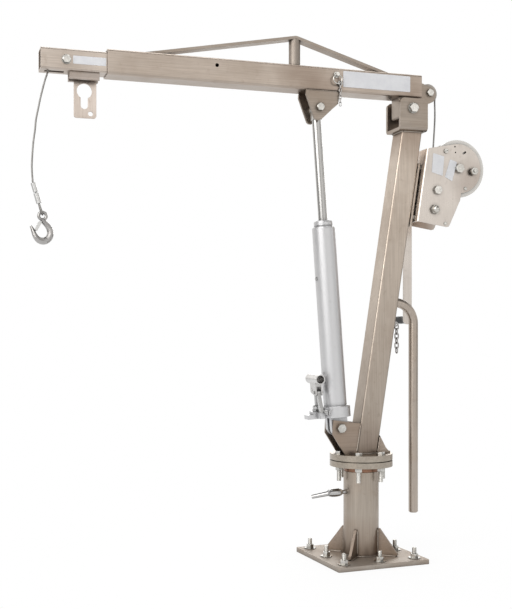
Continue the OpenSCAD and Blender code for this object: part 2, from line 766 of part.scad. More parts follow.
// Fixed axle bolts of drum and intermediate gear, frame stay and mounting bolts
module winch_bolt(c, d, af) {
    wbar(c, d, -winch_half - side_plate_t, winch_half + side_plate_t + d);
    whex(c, af, -winch_half - side_plate_t - d * 0.6, -winch_half - side_plate_t);
    difference() {
        whex(c, af, winch_half + side_plate_t, winch_half + side_plate_t + d * 0.7);
        wbar(c, d, winch_half, winch_half + side_plate_t + d + 1);
    }
}
module winch_fasteners() {
    color("silver") on_mast() {
        winch_bolt(drum_c, 16, head_af);
        winch_bolt(mid_c, 14, head_af - 2);
        at_mount_bolts() {
            translate([0, 0, pad_t + 0.5]) cylinder(d = 9.8, h = back_w + side_plate_t - pad_t + 5);
            translate([0, 0, pad_t + mount_t]) difference() {
                zhex(17, gap_t);
                translate([0, 0, -1]) cylinder(d = 9.8, h = gap_t + 2);
            }
            translate([0, 0, back_w + side_plate_t]) difference() {
                zhex(17, 6);
                translate([0, 0, -1]) cylinder(d = 9.8, h = 8);
            }
        }
        near = -winch_half - side_plate_t;
        difference() {
            wbar(large_screw, 13, near - 3.5, near);
            xz(near - 4, near - 2.3) translate(large_screw) rotate(30) square([10, 1.8], center = true);
        }
        for (c = rivets) {
            wbar(c, 10, near - 1.2, near);
            wbar(c, 7, near - 2.2, near - 1.2);
        }
        wbar(stud_c, 13, near - 8, near);
        whex(stud_c, 20, near - 15, near - 8);
        wbar(stud_c, 9, near - 18, near - 15);
    }
}
// Drum with barrel, smooth flange, gear-side flange and drum gear
module winch_drum() {
    color("lightgray") on_mast() difference() {
        union() {
            wbar(drum_c, barrel_d, drum_y0, gear_y0 + gear_w);
            wbar(drum_c, 30, gear_y0 + gear_w - 1, winch_half - 0.4);
            wbar(drum_c, 2 * drum_flange_r, drum_y0, drum_y0 + drum_flange_t, $fn = 96);
            wbar(drum_c, 2 * drum_flange_r - 16, drum_y1, drum_y1 + drum_flange_t, $fn = 96);
            wbar(drum_c, 2 * drum_flange_r - 40, drum_y1 + drum_flange_t - 0.5, gear_y0 + 1, $fn = 96);
            wgear(drum_c, gear_m, drum_teeth, 0.15, mid_dir, true, gear_y0, gear_y0 + gear_w, 0.8);
        }
        wbar(drum_c, 16 + 2 * run, -60, 60);
    }
}
// Outer cable layer, one unbroken helical tube, over the plain inner layers
wind_a0 = 180 - 3.2;
wind_steps = 24;
wind_y1 = cable_y0 + cable_w - 0.3 - cable_r;
drum_x = wx(drum_c);
drum_z = wz(drum_c);
wind_up = [sin(wind_a0), 0, -cos(wind_a0)];
wind_start = [drum_x + layer_r * cos(wind_a0), wind_y1, drum_z + layer_r * sin(wind_a0)];
wind = concat([wind_start + cable_d * wind_up], [for (i = [0:turns * wind_steps - wind_steps])
    let (a = wind_a0 + i * 360 / wind_steps)
    [drum_x + layer_r * cos(a), wind_y1 - i * turn_pitch / wind_steps, drum_z + layer_r * sin(a)]]);
wind_gap = turn_pitch - cable_d;
echo(least_self_gap_of_winding = wind_gap * cos(atan(turn_pitch / (2 * PI * layer_r))));
module drum_cable() {
    color("lightsteelblue") {
        translate([0, 0, 0]) difference() {
            translate([drum_x, 0, drum_z]) rotate([90, 0, 0]) translate([0, 0, -cable_y0 - cable_w + 0.3])
                cylinder(r = layer_r - cable_r - 0.9, h = cable_w - 0.6, $fn = 96);
            ybar(drum_x, drum_z, barrel_d + 4 * run, -winch_half, winch_half, $fn = 96);
        }
        sweep(wind, cable_r, 6);
    }
}
// Intermediate gear and pinion in one piece, turning on its bolt
module winch_intermediate() {
    color("silver") on_mast() difference() {
        union() {
            wgear(mid_c, gear_m, pinion_teeth, 0.15, mid_dir + 180, false, gear_y0 - 1, fine_y0 + 1);
            wgear(mid_c, fine_m, mid_teeth, 0.12, 90, true, fine_y0, fine_y0 + fine_w, 0.4);
            wbar(mid_c, 22, fine_y0 + fine_w - 1, winch_half - 0.4);
            wbar(mid_c, 22, -winch_half + 0.4, gear_y0);
        }
        wbar(mid_c, 14 + 2 * run, -60, 60);
    }
}
// Crank shaft with its pinion, brake hub and end nut
module crank_shaft() {
    color("silver") {
        on_mast() {
            wbar(crank_c, 16, -winch_half - side_plate_t - 8, crank_y + crank_t + 4);
            wgear(crank_c, fine_m, crank_teeth, 0.12, -90, false, fine_y0 - 1, fine_y0 + fine_w + 1);
            wbar(crank_c, 34, winch_half + side_plate_t + 0.4, winch_half + side_plate_t + 9);
            wbar(crank_c, 66, winch_half + side_plate_t + 9, winch_half + side_plate_t + 19);
            wbar(crank_c, 40, winch_half + side_plate_t + 19, winch_half + side_plate_t + 34);
            wbar(crank_c, 28, winch_half + side_plate_t + 34, crank_y);
            whex(crank_c, 24, -winch_half - side_plate_t - 8, -winch_half - side_plate_t - 0.4);
            intersection() {
                translate([crank_c[0], -winch_half - side_plate_t - 8, crank_c[1]]) sphere(d = 21);
                wbar(crank_c, 30, -winch_half - side_plate_t - 30, -winch_half - side_plate_t - 8);
            }
        }
        yhex(wx(crank_c), wz(crank_c), 24, crank_y + crank_t, crank_y + crank_t + 9);
    }
}
// Crank arm, flat bar hanging straight down, with the grip's pin
crank_x = wx(crank_c);
crank_z = wz(crank_c);
module crank_arm() {
    color("lightgray") {
        difference() {
            xz(crank_y, crank_y + crank_t) {
                translate([crank_x, crank_z]) circle(d = crank_w);
                translate([crank_x, crank_z - crank_r]) circle(d = crank_w);
                translate([crank_x - crank_w / 2, crank_z - crank_r]) square([crank_w, crank_r]);
            }
            ybar(crank_x, crank_z, 16, crank_y - 1, crank_y + crank_t + 1);
        }
        ybar(crank_x, crank_z - crank_r, 10, crank_y + crank_t - 1, crank_y + crank_t + grip_l + 4);
        ybar(crank_x, crank_z - crank_r, 16, crank_y + crank_t + grip_l + 2 * gap, crank_y + crank_t + grip_l + 4);
    }
}
module crank_grip() {
    color("#222222") difference() {
        translate([crank_x, crank_y + crank_t + grip_l + gap, crank_z - crank_r]) rotate([90, 0, 0])
            rotate_extrude($fn = 64) polygon([[5 + run, 0], [grip_d / 2 - 2, 0], [grip_d / 2, 4],
                [grip_d / 2 - 0.6, grip_l * 0.3], [grip_d / 2, grip_l * 0.6], [grip_d / 2 - 0.6, grip_l * 0.85],
                [grip_d / 2 + 1.5, grip_l - 3], [grip_d / 2 + 1.5, grip_l], [5 + run, grip_l]]);
    }
}
// Outer boom tube with lock holes on the near side
module boom_tube() {
    color("gray") difference() {
        translate([boom_x0, 0, boom_z + boom_s / 2]) rotate([90, 0, 90])
            linear_extrude(boom_x1 - boom_x0) tube_section(boom_s, boom_wall, boom_r);
        for (x = [px - lock_hole_x, px - lock_hole_x - reach])
            ybar(x, lock_z, lock_hole_d, -boom_s, -boom_s / 2 + boom_wall + 2);
    }
}
lock_z = boom_top - 20;
// Pivot lug under the boom
module boom_lug() {
    color("gray") difference() {
        xz(-lug_half, lug_half) polygon([[px - 33, pz - 21], [px - 29, pz - 25], [px + 28, pz - 25],
            [px + 32, pz - 21], [px + 32, boom_z], [px - 33, boom_z]]);
        ybar(px, pz, pivot_d + 2 * run, -lug_half - 1, lug_half + 1);
    }
}
// Two ears under the boom for the ram's head bolt
module ram_head_bracket() {
    color("gray") difference() {
        xz_pair(boom_s / 2 - 7.75, boom_s / 2) polygon([
            [hx - 40, boom_z], [hx - 41, hz + 34.5], [hx - 16, hz - 32], [hx - 11, hz - 36], [hx - 3, hz - 37],
            [hx + 6, hz - 32.5], [hx + 38, hz - 2.5], [hx + 55, hz + 12.5], [hx + 59.3, boom_z - 5], [hx + 59, boom_z]]);
        ybar(hx, hz, ram_bolt_d + 2 * run, -boom_s, boom_s);
    }
}
rod_half = 11;
ram_head_af = 20;
module ram_head_bolt() {
    color("silver") {
        cross_bolt(hx, hz, ram_bolt_d, boom_s / 2, ram_head_af, 6);
        for (i = [-1, 1]) difference() {
            ybar(hx, hz, ram_bolt_d + 8, i > 0 ? rod_half + gap : -boom_s / 2 + 7.75,
                i > 0 ? boom_s / 2 - 7.75 : -rod_half - gap);
            ybar(hx, hz, ram_bolt_d, -boom_s, boom_s);
        }
    }
}
// Flat truss bar over the strut
tx = px - strut_x;
t_a = atan2(truss_h, truss_front - strut_x);
t_b = atan2(truss_h, strut_x - truss_back);
peak_in = truss_t / cos((t_a + t_b) / 2);
module truss_shape() {
    polygon([[px - truss_front, boom_top], [tx - 3, boom_top + truss_h - 0.4], [tx + 3, boom_top + truss_h - 0.4],
        [px - truss_back, boom_top], [px - truss_back - truss_t / sin(t_b), boom_top],
        [tx, boom_top + truss_h - peak_in], [px - truss_front + truss_t / sin(t_a), boom_top]]);
}
module truss_bar() {
    color("gray") xz(-truss_w / 2, truss_w / 2) truss_shape();
}
module truss_strut() {
    color("gray") difference() {
        translate([tx, 0, boom_top]) cylinder(d = strut_d, h = truss_h + 5);
        xz(-strut_d, strut_d) polygon([[px - truss_front + truss_t / sin(t_a), boom_top],
            [tx, boom_top + truss_h - peak_in], [px - truss_back - truss_t / sin(t_b), boom_top],
            [px - truss_back, boom_top + truss_h + 20], [px - truss_front, boom_top + truss_h + 20]]);
    }
}
// Ears behind the boom that carry the rear sheave
ear_in = sheave_w / 2 + 3;
ear_t = 7;
module rear_sheave_bracket() {
    color("gray") difference() {
        xz_pair(ear_in, ear_in + ear_t) {
            polygon([[boom_x1, cable_z + 3], [boom_x1 + 8, cable_z + 2.5], [rs[0] + 5.3, rs[1] + 14.6],
                [rs[0] + 16.5, rs[1] + 4], [rs[0] + 18, rs[1] - 6], [rs[0] + 15.5, rs[1] - 16],
                [rs[0] + 8.5, rs[1] - 25.5], [rs[0] - 2, rs[1] - 31.5], [rs[0] - 12, rs[1] - 35],
                [boom_x1 + 6, boom_z - 8], [boom_x1, boom_z]]);
            translate(rs) circle(15.5);
        }
        ybar(rs[0], rs[1], axle_d + 2 * run, -60, 60);
    }
}
module rear_sheave_bolt() {
    color("silver") {
        cross_bolt(rs[0], rs[1], axle_d, ear_in + ear_t, nut_af, 4);
        for (i = [-1, 1]) difference() {
            ybar(rs[0], rs[1], axle_d + 7, i > 0 ? sheave_w / 2 + gap : -ear_in, i > 0 ? ear_in : -sheave_w / 2 - gap);
            ybar(rs[0], rs[1], axle_d, -60, 60);
        }
    }
}
// A grooved sheave, its axis along Y
module sheave(c, r) {
    translate([c[0], 0, c[1]]) rotate([90, 0, 0]) rotate_extrude($fn = 72) difference() {
        translate([axle_d / 2 + run, -sheave_w / 2]) square([r + rim - axle_d / 2 - run, sheave_w]);
        translate([r, 0]) circle(cable_r + 0.25, $fn = 32);
        polygon([[r, -cable_r - 0.25], [r + rim + 1, -cable_r - 1.6], [r + rim + 1, cable_r + 1.6], [r, cable_r + 0.25]]);
    }
}
module rear_sheave() {
    color("silver") sheave(rs, rear_r);
}
module front_sheave() {
    color("silver") sheave(fs, front_r);
}
// Wire cable inside the boom, between the two sheaves
module cable_boom() {
    color("lightsteelblue") sweep([[rs[0] + rear_r, 0, rs[1] - gap], for (a = [0:15:90])
        [rs[0] + rear_r * cos(a), 0, rs[1] + rear_r * sin(a)], [rs[0] - 20, 0, cable_z], [rs[0] - 260, 0, cable_z],
        [rs[0] - 520, 0, cable_z], [rs[0] - 780, 0, cable_z], [fs[0] + 20, 0, cable_z], [fs[0] + 4 * gap, 0, cable_z]], cable_r, 8);
}
// Wire cable from the drum up to the rear sheave
lead_pts = [[drum_x - 55.0, 5, drum_z + 59], [drum_x - 50.6, 2.5, drum_z + 147.3], [rs[0] + rear_r - 0.3, 0.3, rs[1] - 24]];
module cable_lead() {
    color("lightsteelblue") sweep(smooth(concat([wind_start + (cable_d + gap) * wind_up, wind_start + (cable_d + 14) * wind_up], lead_pts,
        [[rs[0] + rear_r, 0, rs[1] - 12], [rs[0] + rear_r, 0, rs[1] - 4 * gap]]), 4), cable_r, 8);
}
// Pull pin in the boom's rear lock hole
module lock_pin() {
    color("silver") {
        ybar(px - lock_hole_x, lock_z, lock_hole_d - 2 * run, -boom_s / 2 - 14, -boom_s / 2 + boom_wall);
        ybar(px - lock_hole_x, lock_z, 17, -boom_s / 2 - 3.5, -boom_s / 2 - gap);
        translate([px - lock_hole_x, -boom_s / 2 - 14 + 3, lock_z - 14]) rotate([90, 0, 0])
            rotate_extrude($fn = 48) translate([12.5, 0]) circle(1.6, $fn = 16);
    }
}
// Welded tab under the boom's side with the lock pin's chain
module lanyard() {
    color("silver") {
        difference() {
            union() {
                xz(-boom_s / 2 - 6.5, -boom_s / 2 - 3.5) translate([px - 220, boom_z + 22.5]) circle(7);
                xz(-boom_s / 2 - 6.5, -boom_s / 2) translate([px - 226, boom_z + 24.5]) square([12, 4]);
            }
            ybar(px - 220, boom_z + 20.3, 5.2, -60, 0);
        }
        translate([px - 220, -boom_s / 2 - 5, boom_z + 19.4]) rotate([0, 0, 90]) chain(6, 14, 8, 2);
    }
}
// Inner boom with the cable slot under its front end
module inner_boom() {
    color("lightgray") difference() {
        translate([inner_x0, 0, inner_z + inner_s / 2]) rotate([90, 0, 90])
            linear_extrude(inner_len) tube_section(inner_s, inner_wall, 5);
        translate([inner_x0 + 12, -8, inner_z - 1]) cube([50, 16, inner_wall + 2]);
        ybar(fs[0], fs[1], axle_d + 2 * run, -60, 60);
        for (x = [px - lock_hole_x, px - lock_hole_x - 115, px - lock_hole_x - 230, px - lock_hole_x - reach])
            ybar(x, lock_z, lock_hole_d, -inner_s, -inner_s / 2 + inner_wall + 1);
    }
}
key_y = 8;
key_t = 6.35;
key_x = inner_x0 + 118.4;
key_z = inner_z - 19.7;
module keyhole_plate() {
    color("gray") xz(key_y, key_y + key_t) difference() {
        union() {
            translate([key_x - 29.35, key_z - 87]) square([58.7, 87]);
            translate([key_x - 22.35, key_z - 94]) square([44.7, 8]);
            for (i = [-1, 1]) translate([key_x + i * 22.35, key_z - 87]) circle(7);
        }
        translate([key_x - 2, key_z - 23.6]) circle(20);
        translate([key_x - 11.8, key_z - 61]) square([19.2, 39]);
        translate([key_x - 2.2, key_z - 61]) circle(9.6);
        translate([key_x + 14.2, key_z - 82.1]) circle(6.5);
    }
}
module keyhole_saddle() {
    color("gray") difference() {
        translate([key_x - 44, -20, key_z]) cube([77.4, 40, inner_z - key_z]);
        translate([key_x - 50, -14, key_z - 1]) cube([90, 20.5, inner_z - key_z - 4]);
    }
}
module front_sheave_bolt() {
    color("silver") {
        cross_bolt(fs[0], fs[1], axle_d, inner_s / 2, nut_af, 4, 25);
        for (i = [-1, 1]) difference() {
            ybar(fs[0], fs[1], axle_d + 6, i > 0 ? sheave_w / 2 + gap : -inner_s / 2 + inner_wall,
                i > 0 ? inner_s / 2 - inner_wall : -sheave_w / 2 - gap);
            ybar(fs[0], fs[1], axle_d, -60, 60);
        }
    }
}

// The ram's own frame: foot pin at the origin, Z towards the head pin
module on_ram() {
    translate([fx, 0, fz]) rotate([0, ram_lean, 0]) children();
}
rod_low = 300;
module ram_rod() {
    color("gainsboro") on_ram() {
        difference() {
            union() {
                translate([0, 0, rod_low + 20]) cylinder(d = rod_d, h = ram_len - rod_low - 34);
                translate([0, 0, rod_low]) cylinder(d = cyl_d - 2 * cyl_wall - 2 * run, h = 20);
                xz(-rod_half, rod_half) {
                    translate([0, ram_len]) circle(16);
                    translate([-12.7, ram_len - 30]) square([25.4, 30]);
                }
            }
            ybar(0, ram_len, ram_bolt_d + 2 * run, -40, 40);
        }
    }
}
module ram_cylinder() {
    color("silver") on_ram() rotate_extrude($fn = 96) polygon([
        [cyl_d / 2 - cyl_wall, collar_z + collar_h], [cyl_d / 2, collar_z + collar_h], [cyl_d / 2, cyl_top - 9],
        [cyl_d / 2 - 1, cyl_top - 6.5], [cyl_d / 2 - 3, cyl_top - 5], [cap_d / 2 - 1.5, cyl_top - 5],
        [cap_d / 2 - 1.5, cyl_top - 2], [cap_d / 2, cyl_top - 1], [cap_d / 2, cyl_top + 8],
        [cap_d / 2 - 1.5, cyl_top + 11.5], [cap_d / 2 - 5, cyl_top + 13], [rod_d / 2 + 2, cyl_top + 13],
        [rod_d / 2 + run, cyl_top + 11],
        [rod_d / 2 + run, cyl_top - 14], [cyl_d / 2 - cyl_wall, cyl_top - 14]]);
}
// Ram base: collar, foot block and the two foot tabs with clearance round the bolt
tab_half = 24;
tab_hole = 37;
module ram_base() {
    color("silver") on_ram() difference() {
        union() {
            translate([0, 0, collar_z]) cylinder(d = collar_d, h = collar_h - 3, $fn = 96);
            translate([0, 0, collar_z + collar_h - 3]) cylinder(d1 = collar_d, d2 = collar_d - 6, h = 3, $fn = 96);
            translate([0, 0, collar_z]) linear_extrude(12) {
                translate([-89, -16]) square([89, 32]);
            }
            translate([-pump_x - 16, -16, collar_z]) cube([40, 32, 20]);
            xz_pair(8, 24) {
                circle(tab_half);
                translate([-tab_half, 0]) square([2 * tab_half, collar_z + 1]);
            }
            translate([-pump_x - 6, -44, collar_z + 2]) cube([12, 30, 16]);
        }
        ybar(0, 0, tab_hole, -40, 40);
        ybar(-47, collar_z + 19, 9 + 2 * run, -60, -24);
        translate([-pump_x, 0, collar_z + 3]) cylinder(d = 9, h = 20);
    }
}
// Pump cylinder, fulcrum link and filler plug on the ram
link_low = [-38, collar_z + 27];
link_top = [-20, 105];
module pump_body() {
    color("silver") on_ram() {
        translate([-pump_x, 0, collar_z + 20]) difference() {
            union() {
                cylinder(d = 21, h = 14);
                zhex(22, 6);
                translate([0, 0, 14]) cylinder(d1 = 21, d2 = 16, h = 3);
            }
            translate([0, 0, -1]) cylinder(d = 8.5 + 2 * run, h = 40);
        }
        translate([-pump_x, 0, 0]) rotate([90, 0, 90]) difference() {
            translate([0, 0, -5]) linear_extrude(10) {
                polygon([[link_low[0] - 6, collar_z + 18], [link_low[0] + 6, collar_z + 18],
                    [link_top[0] + 6, link_top[1] - 2], [link_top[0] - 6, link_top[1]]]);
                translate(link_top) circle(6.5);
            }
        }
        translate([-pump_x, link_top[0], link_top[1]]) rotate([0, 90, 0]) cylinder(d = 8, h = 28, center = true);
        difference() {
            translate([-cyl_d / 2 - 3, -4, 421]) rotate([0, 90, 0]) cylinder(d = 9, h = 6);
            translate([0, 0, 400]) cylinder(d = cyl_d, h = 50, $fn = 96);
        }
    }
}
// Pump piston with its slotted head
piston_pin = [0, 112];
module pump_piston() {
    color("gainsboro") on_ram() translate([-pump_x, 0, 0]) difference() {
        union() {
            translate([0, 0, collar_z + 14]) cylinder(d = 8.5, h = piston_pin[1] - collar_z - 18);
            translate([-6, -8, piston_pin[1] - 8]) cube([12, 16, 15]);
        }
        for (i = [-1, 1]) translate([0, i * 2.2, piston_pin[1]]) rotate([0, 90, 0])
            cylinder(d = 9, h = 20, center = true);
        translate([-10, -2.2, piston_pin[1] - 4.5]) cube([20, 4.4, 9]);
    }
}
// Handle socket: tube along Y over a yoke of two cheeks
socket_s = 142;
module handle_socket() {
    color("silver") on_ram() translate([-pump_x, 0, 0]) {
        difference() {
            union() {
                ybar(0, socket_s, socket_d, -45, 35);
                for (i = [-1, 1]) translate([i > 0 ? 6.6 : -10.6, 0, 0]) rotate([90, 0, 90]) linear_extrude(4) polygon([
                    [-28, socket_s - 6], [-28, 99], [-25, 96], [6, 103], [10, 106], [10, socket_s - 6]]);
            }
            ybar(0, socket_s, socket_bore, -46, 29);
            translate([0, link_top[0], link_top[1]]) rotate([0, 90, 0]) cylinder(d = 8 + 2 * run, h = 60, center = true);
        }
        translate([0, piston_pin[0], piston_pin[1]]) rotate([0, 90, 0]) cylinder(d = 8, h = 24, center = true);
    }
}
// Release valve screw on the ram's base
module release_valve() {
    color("silver") on_ram() {
        ybar(-47, collar_z + 19, 9, -54, -26);
        difference() {
            ybar(-47, collar_z + 19, 13, -62, -48);
            translate([-48, -63, collar_z + 10]) cube([2, 4, 20]);
        }
    }
}

// Hanging end of the wire cable: over the front sheave and down to the crimps
crimp_a = [fs[0] - 82.3, 0, fs[1] - 315.5];
crimp_b = [fs[0] - 66.6, 0, fs[1] - 369.5];
crimp_len = norm(crimp_b - crimp_a);
crimp_tilt = atan2(crimp_b[0] - crimp_a[0], crimp_b[2] - crimp_a[2]);
tip_pts = [[gap, 15], [-4, 15], [-12, 14.5], [-25, 8.5], [-36, -4], [-42, -18], [-46, -34.5], [-51.3, -50.5], [-61.3, -89.5],
    [-69.3, -128.5], [-74.3, -154.5], [-76.8, -180.5], [-81.3, -215.5], [-84.3, -258.5], [-84.6, -283.5]];
tip = concat([for (p = tip_pts) [fs[0] + p[0], 0, fs[1] + p[1]]], [crimp_a + [-0.6, 0, 6]],
    [crimp_a, crimp_a + (crimp_b - crimp_a) * 0.5, crimp_a + (crimp_b - crimp_a) * 0.92]);
eye = [fs[0] - 57.8, fs[1] - 401.5];
loop_pts = [[-9.2, -3, 32.0], [-6, -7, 20], [-3, -8, 11.5], [-1, -5.6, 5.6], [0, 0, 2.9], [-1, 5.6, 5.6], [-3, 8, 11.5],
    [-6, 7, 20], [-9.2, 3, 32.0]];
module hoist_cable_tip() {
    color("lightsteelblue") {
        sweep(tip, cable_r, 8);
        sweep(smooth([for (p = loop_pts) [eye[0] + p[0], p[1], eye[1] + p[2]]], 2), cable_r, 8, [1, 0, 0]);
    }
}
// Two crimp sleeves above the hook's loop
module crimp(from, to, d, through) {
    translate(crimp_a) rotate([0, crimp_tilt, 0]) translate([0, 0, from]) difference() {
        cylinder(d = d, h = to - from);
        translate([0, 0, -1]) cylinder(d = cable_d + 0.3, h = through - from + 1);
    }
}
module cable_sleeves() {
    color("silver") {
        crimp(2, 26, 13, 27.1);
        crimp(29, crimp_len, 14, crimp_len * 0.92 + 0.1);
    }
}
// Eye hook: ring, tapered bowl and tip
hook_pts = [[0, -11], [5, -17], [11.5, -24], [18, -34], [20, -46], [16, -57], [8, -63.5], [0, -65], [-9, -62.5],
    [-16.5, -55], [-21.5, -45], [-25.5, -35], [-29.5, -26.5]];
hook_r = [6, 6.6, 7.2, 8, 8.6, 9.1, 9.3, 9.2, 8.6, 7.4, 6, 4.6, 3];
module lifting_hook() {
    color("silver") difference() {
        union() {
            translate([eye[0], 0, eye[1]]) rotate([90, 0, 0]) rotate_extrude($fn = 48) translate([9.6, 0]) circle(4, $fn = 24);
            sweep([for (p = smooth([for (q = hook_pts) [q[0], 0, q[1]]], 2)) [eye[0] + p[0], 0, eye[1] + p[2]]],
                [for (i = [0:2 * (len(hook_r) - 1)]) (hook_r[floor(i / 2)] + hook_r[ceil(i / 2)]) / 2], 12);
        }
        ybar(eye[0] - 6, eye[1] - 18, 4 + 2 * run, -20, 20);
    }
}
// Spring latch across the hook's mouth
module hook_latch() {
    color("silver") {
        ybar(eye[0] - 6, eye[1] - 18, 4, -9, 9);
        for (i = [-1, 1]) xz(i > 0 ? 7.4 : -9, i > 0 ? 9 : -7.4) translate(eye) polygon([[-10.5, -15],
            [-3, -14], [-3, -20], [-13, -37], [-19, -35]]);
        xz(-9, 9) translate(eye) polygon([[-18.5, -33], [-14.5, -31], [-12.5, -37.5], [-17.5, -39.5], [-19.5, -36]]);
    }
}

base_plate();
base_post();
base_gussets();
thrust_ring();
anchor_studs();
anchor_nuts();
anchor_washers();
clamp_lever();
pivot_post();
lower_flange();
mast_flange();
flange_bolts();
flange_nuts();
mast_tube();
ram_foot_bracket();
mast_rear_gussets();
ram_foot_bolt();
head_bracket();
head_pivot_bolt();
swing_handle();
mast_chain();
winch_mount();
winch_frame();
winch_fasteners();
winch_drum();
drum_cable();
winch_intermediate();
crank_shaft();
crank_arm();
crank_grip();
boom_tube();
boom_lug();
ram_head_bracket();
ram_head_bolt();
truss_bar();
truss_strut();
rear_sheave_bracket();
rear_sheave_bolt();
lanyard();
cable_boom();
cable_lead();
rear_sheave();
lock_pin();
inner_boom();
keyhole_plate();
keyhole_saddle();
front_sheave_bolt();
front_sheave();
ram_rod();
ram_cylinder();
ram_base();
pump_body();
pump_piston();
handle_socket();
release_valve();
hoist_cable_tip();
cable_sleeves();
lifting_hook();
hook_latch();
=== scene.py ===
import math

import bpy
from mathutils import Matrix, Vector


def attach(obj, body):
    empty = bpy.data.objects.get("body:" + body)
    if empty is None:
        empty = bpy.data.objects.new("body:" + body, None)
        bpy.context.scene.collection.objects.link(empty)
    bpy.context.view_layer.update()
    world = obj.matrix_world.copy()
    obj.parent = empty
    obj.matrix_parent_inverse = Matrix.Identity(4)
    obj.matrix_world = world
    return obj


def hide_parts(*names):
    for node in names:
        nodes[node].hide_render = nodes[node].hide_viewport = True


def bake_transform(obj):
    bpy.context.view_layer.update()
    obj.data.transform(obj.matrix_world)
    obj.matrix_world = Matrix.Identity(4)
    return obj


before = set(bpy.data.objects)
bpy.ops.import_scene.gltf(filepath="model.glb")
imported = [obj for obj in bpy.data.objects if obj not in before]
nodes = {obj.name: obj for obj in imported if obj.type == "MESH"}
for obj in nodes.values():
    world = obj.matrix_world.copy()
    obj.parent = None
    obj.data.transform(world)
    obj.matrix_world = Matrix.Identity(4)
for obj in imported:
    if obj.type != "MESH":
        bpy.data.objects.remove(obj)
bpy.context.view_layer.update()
scene = bpy.context.scene
scene.view_settings.view_transform = "Standard"

# Camera: level, looking 17.59 degrees to the right of +Y
WIDTH = 512
HEIGHT = 609
FOCAL_PX = 1000.63
CENTRE_PX = (248.12, 329.21)
EYE = Vector((-1.16773, -2.61913, 0.65015))
YAW = math.radians(17.59)
SENSOR_MM = 36.0
camera_data = bpy.data.cameras.new("camera")
camera_data.sensor_fit = "HORIZONTAL"
camera_data.sensor_width = SENSOR_MM
camera_data.lens = SENSOR_MM * FOCAL_PX / WIDTH
camera_data.shift_x = (WIDTH / 2 - CENTRE_PX[0]) / WIDTH
camera_data.shift_y = (CENTRE_PX[1] - HEIGHT / 2) / WIDTH
camera_data.clip_start = 0.05
camera = bpy.data.objects.new("camera", camera_data)
camera.location = EYE
camera.rotation_euler = (math.radians(90), 0, -YAW)
scene.collection.objects.link(camera)
scene.camera = camera

# The wire cable: its size, its strands and how often they twist, and the fineness of its mesh
CABLE_D = 0.0048
STRANDS = 7
LAY = 0.034
STRAND_DIP = 0.13
CABLE_SIDES = 28
PATH_STEP = 0.0012
CURVE_STEPS = 8


def new_object(name, mesh):
    obj = bpy.data.objects.new(name, mesh)
    scene.collection.objects.link(obj)
    return obj


def mesh_from(name, verts, faces, smooth=True):
    mesh = bpy.data.meshes.new(name)
    mesh.from_pydata([tuple(v) for v in verts], [], faces)
    mesh.validate()
    for poly in mesh.polygons:
        poly.use_smooth = smooth
    mesh.update()
    return mesh


def grid_faces(rows, sides):
    """Quads between rings of points, where each ring has that many sides."""
    faces = []
    for i in range(rows):
        for k in range(sides):
            k2 = (k + 1) % sides
            faces.append((i * sides + k, i * sides + k2, (i + 1) * sides + k2, (i + 1) * sides + k))
    return faces


def mm(point):
    """A point in metres from one in millimetres."""
    return Vector([value / 1000 for value in point])


def smooth_curve(points):
    """A Catmull-Rom curve through the points."""
    points = [Vector(p) for p in points]
    out = []
    for i in range(len(points) - 1):
        a = points[max(i - 1, 0)]
        b = points[i]
        c = points[i + 1]
        d = points[min(i + 2, len(points) - 1)]
        for s in range(CURVE_STEPS):
            t = s / CURVE_STEPS
            out.append(0.5 * (2 * b + (c - a) * t + (2 * a - 5 * b + 4 * c - d) * t * t
                              + (3 * b - 3 * c + d - a) * t * t * t))
    out.append(points[-1])
    return out


def even_steps(points):
    """The same line with points at one even step, and its last point kept."""
    out = [points[0].copy()]
    left = PATH_STEP
    for a, b in zip(points, points[1:]):
        length = (b - a).length
        at = 0.0
        while length - at > left:
            at += left
            out.append(a + (b - a) * (at / length))
            left = PATH_STEP
        left -= length - at
    if (points[-1] - out[-1]).length < PATH_STEP * 0.4:
        out[-1] = points[-1].copy()
    else:
        out.append(points[-1].copy())
    return out


def tube(name, points, radius, sides, ref=(0, 1, 0), strands=0, taper=None):
    """A closed tube along points. With strands, its section shows them, twisted once every lay.

    ref is any direction that the tube never runs along. taper gives the thickness, from the part of the
    points that is passed and the length along them.
    """
    ref = Vector(ref)
    verts = []
    along = 0.0
    last = len(points) - 1
    for i, p in enumerate(points):
        if i:
            along += (p - points[i - 1]).length
        way = (points[min(i + 1, last)] - points[max(i - 1, 0)]).normalized()
        out = way.cross(ref).normalized()
        over = out.cross(way)
        base = radius if taper is None else radius * taper(i / last, along)
        for k in range(sides):
            angle = 2 * math.pi * k / sides
            r = base
            if strands:
                phase = angle * strands / 2 - math.pi * strands * along / LAY
                r = base * (1 - STRAND_DIP + STRAND_DIP * abs(math.cos(phase)))
            verts.append(p + r * (math.cos(angle) * out + math.sin(angle) * over))
    faces = grid_faces(last, sides)
    faces.append(tuple(reversed(range(sides))))
    faces.append(tuple(range(last * sides, (last + 1) * sides)))
    return mesh_from(name, verts, faces)


def wire(name, points, sides=CABLE_SIDES, ref=(0, 1, 0)):
    return new_object(name, tube(name, points, CABLE_D / 2, sides, ref, STRANDS))


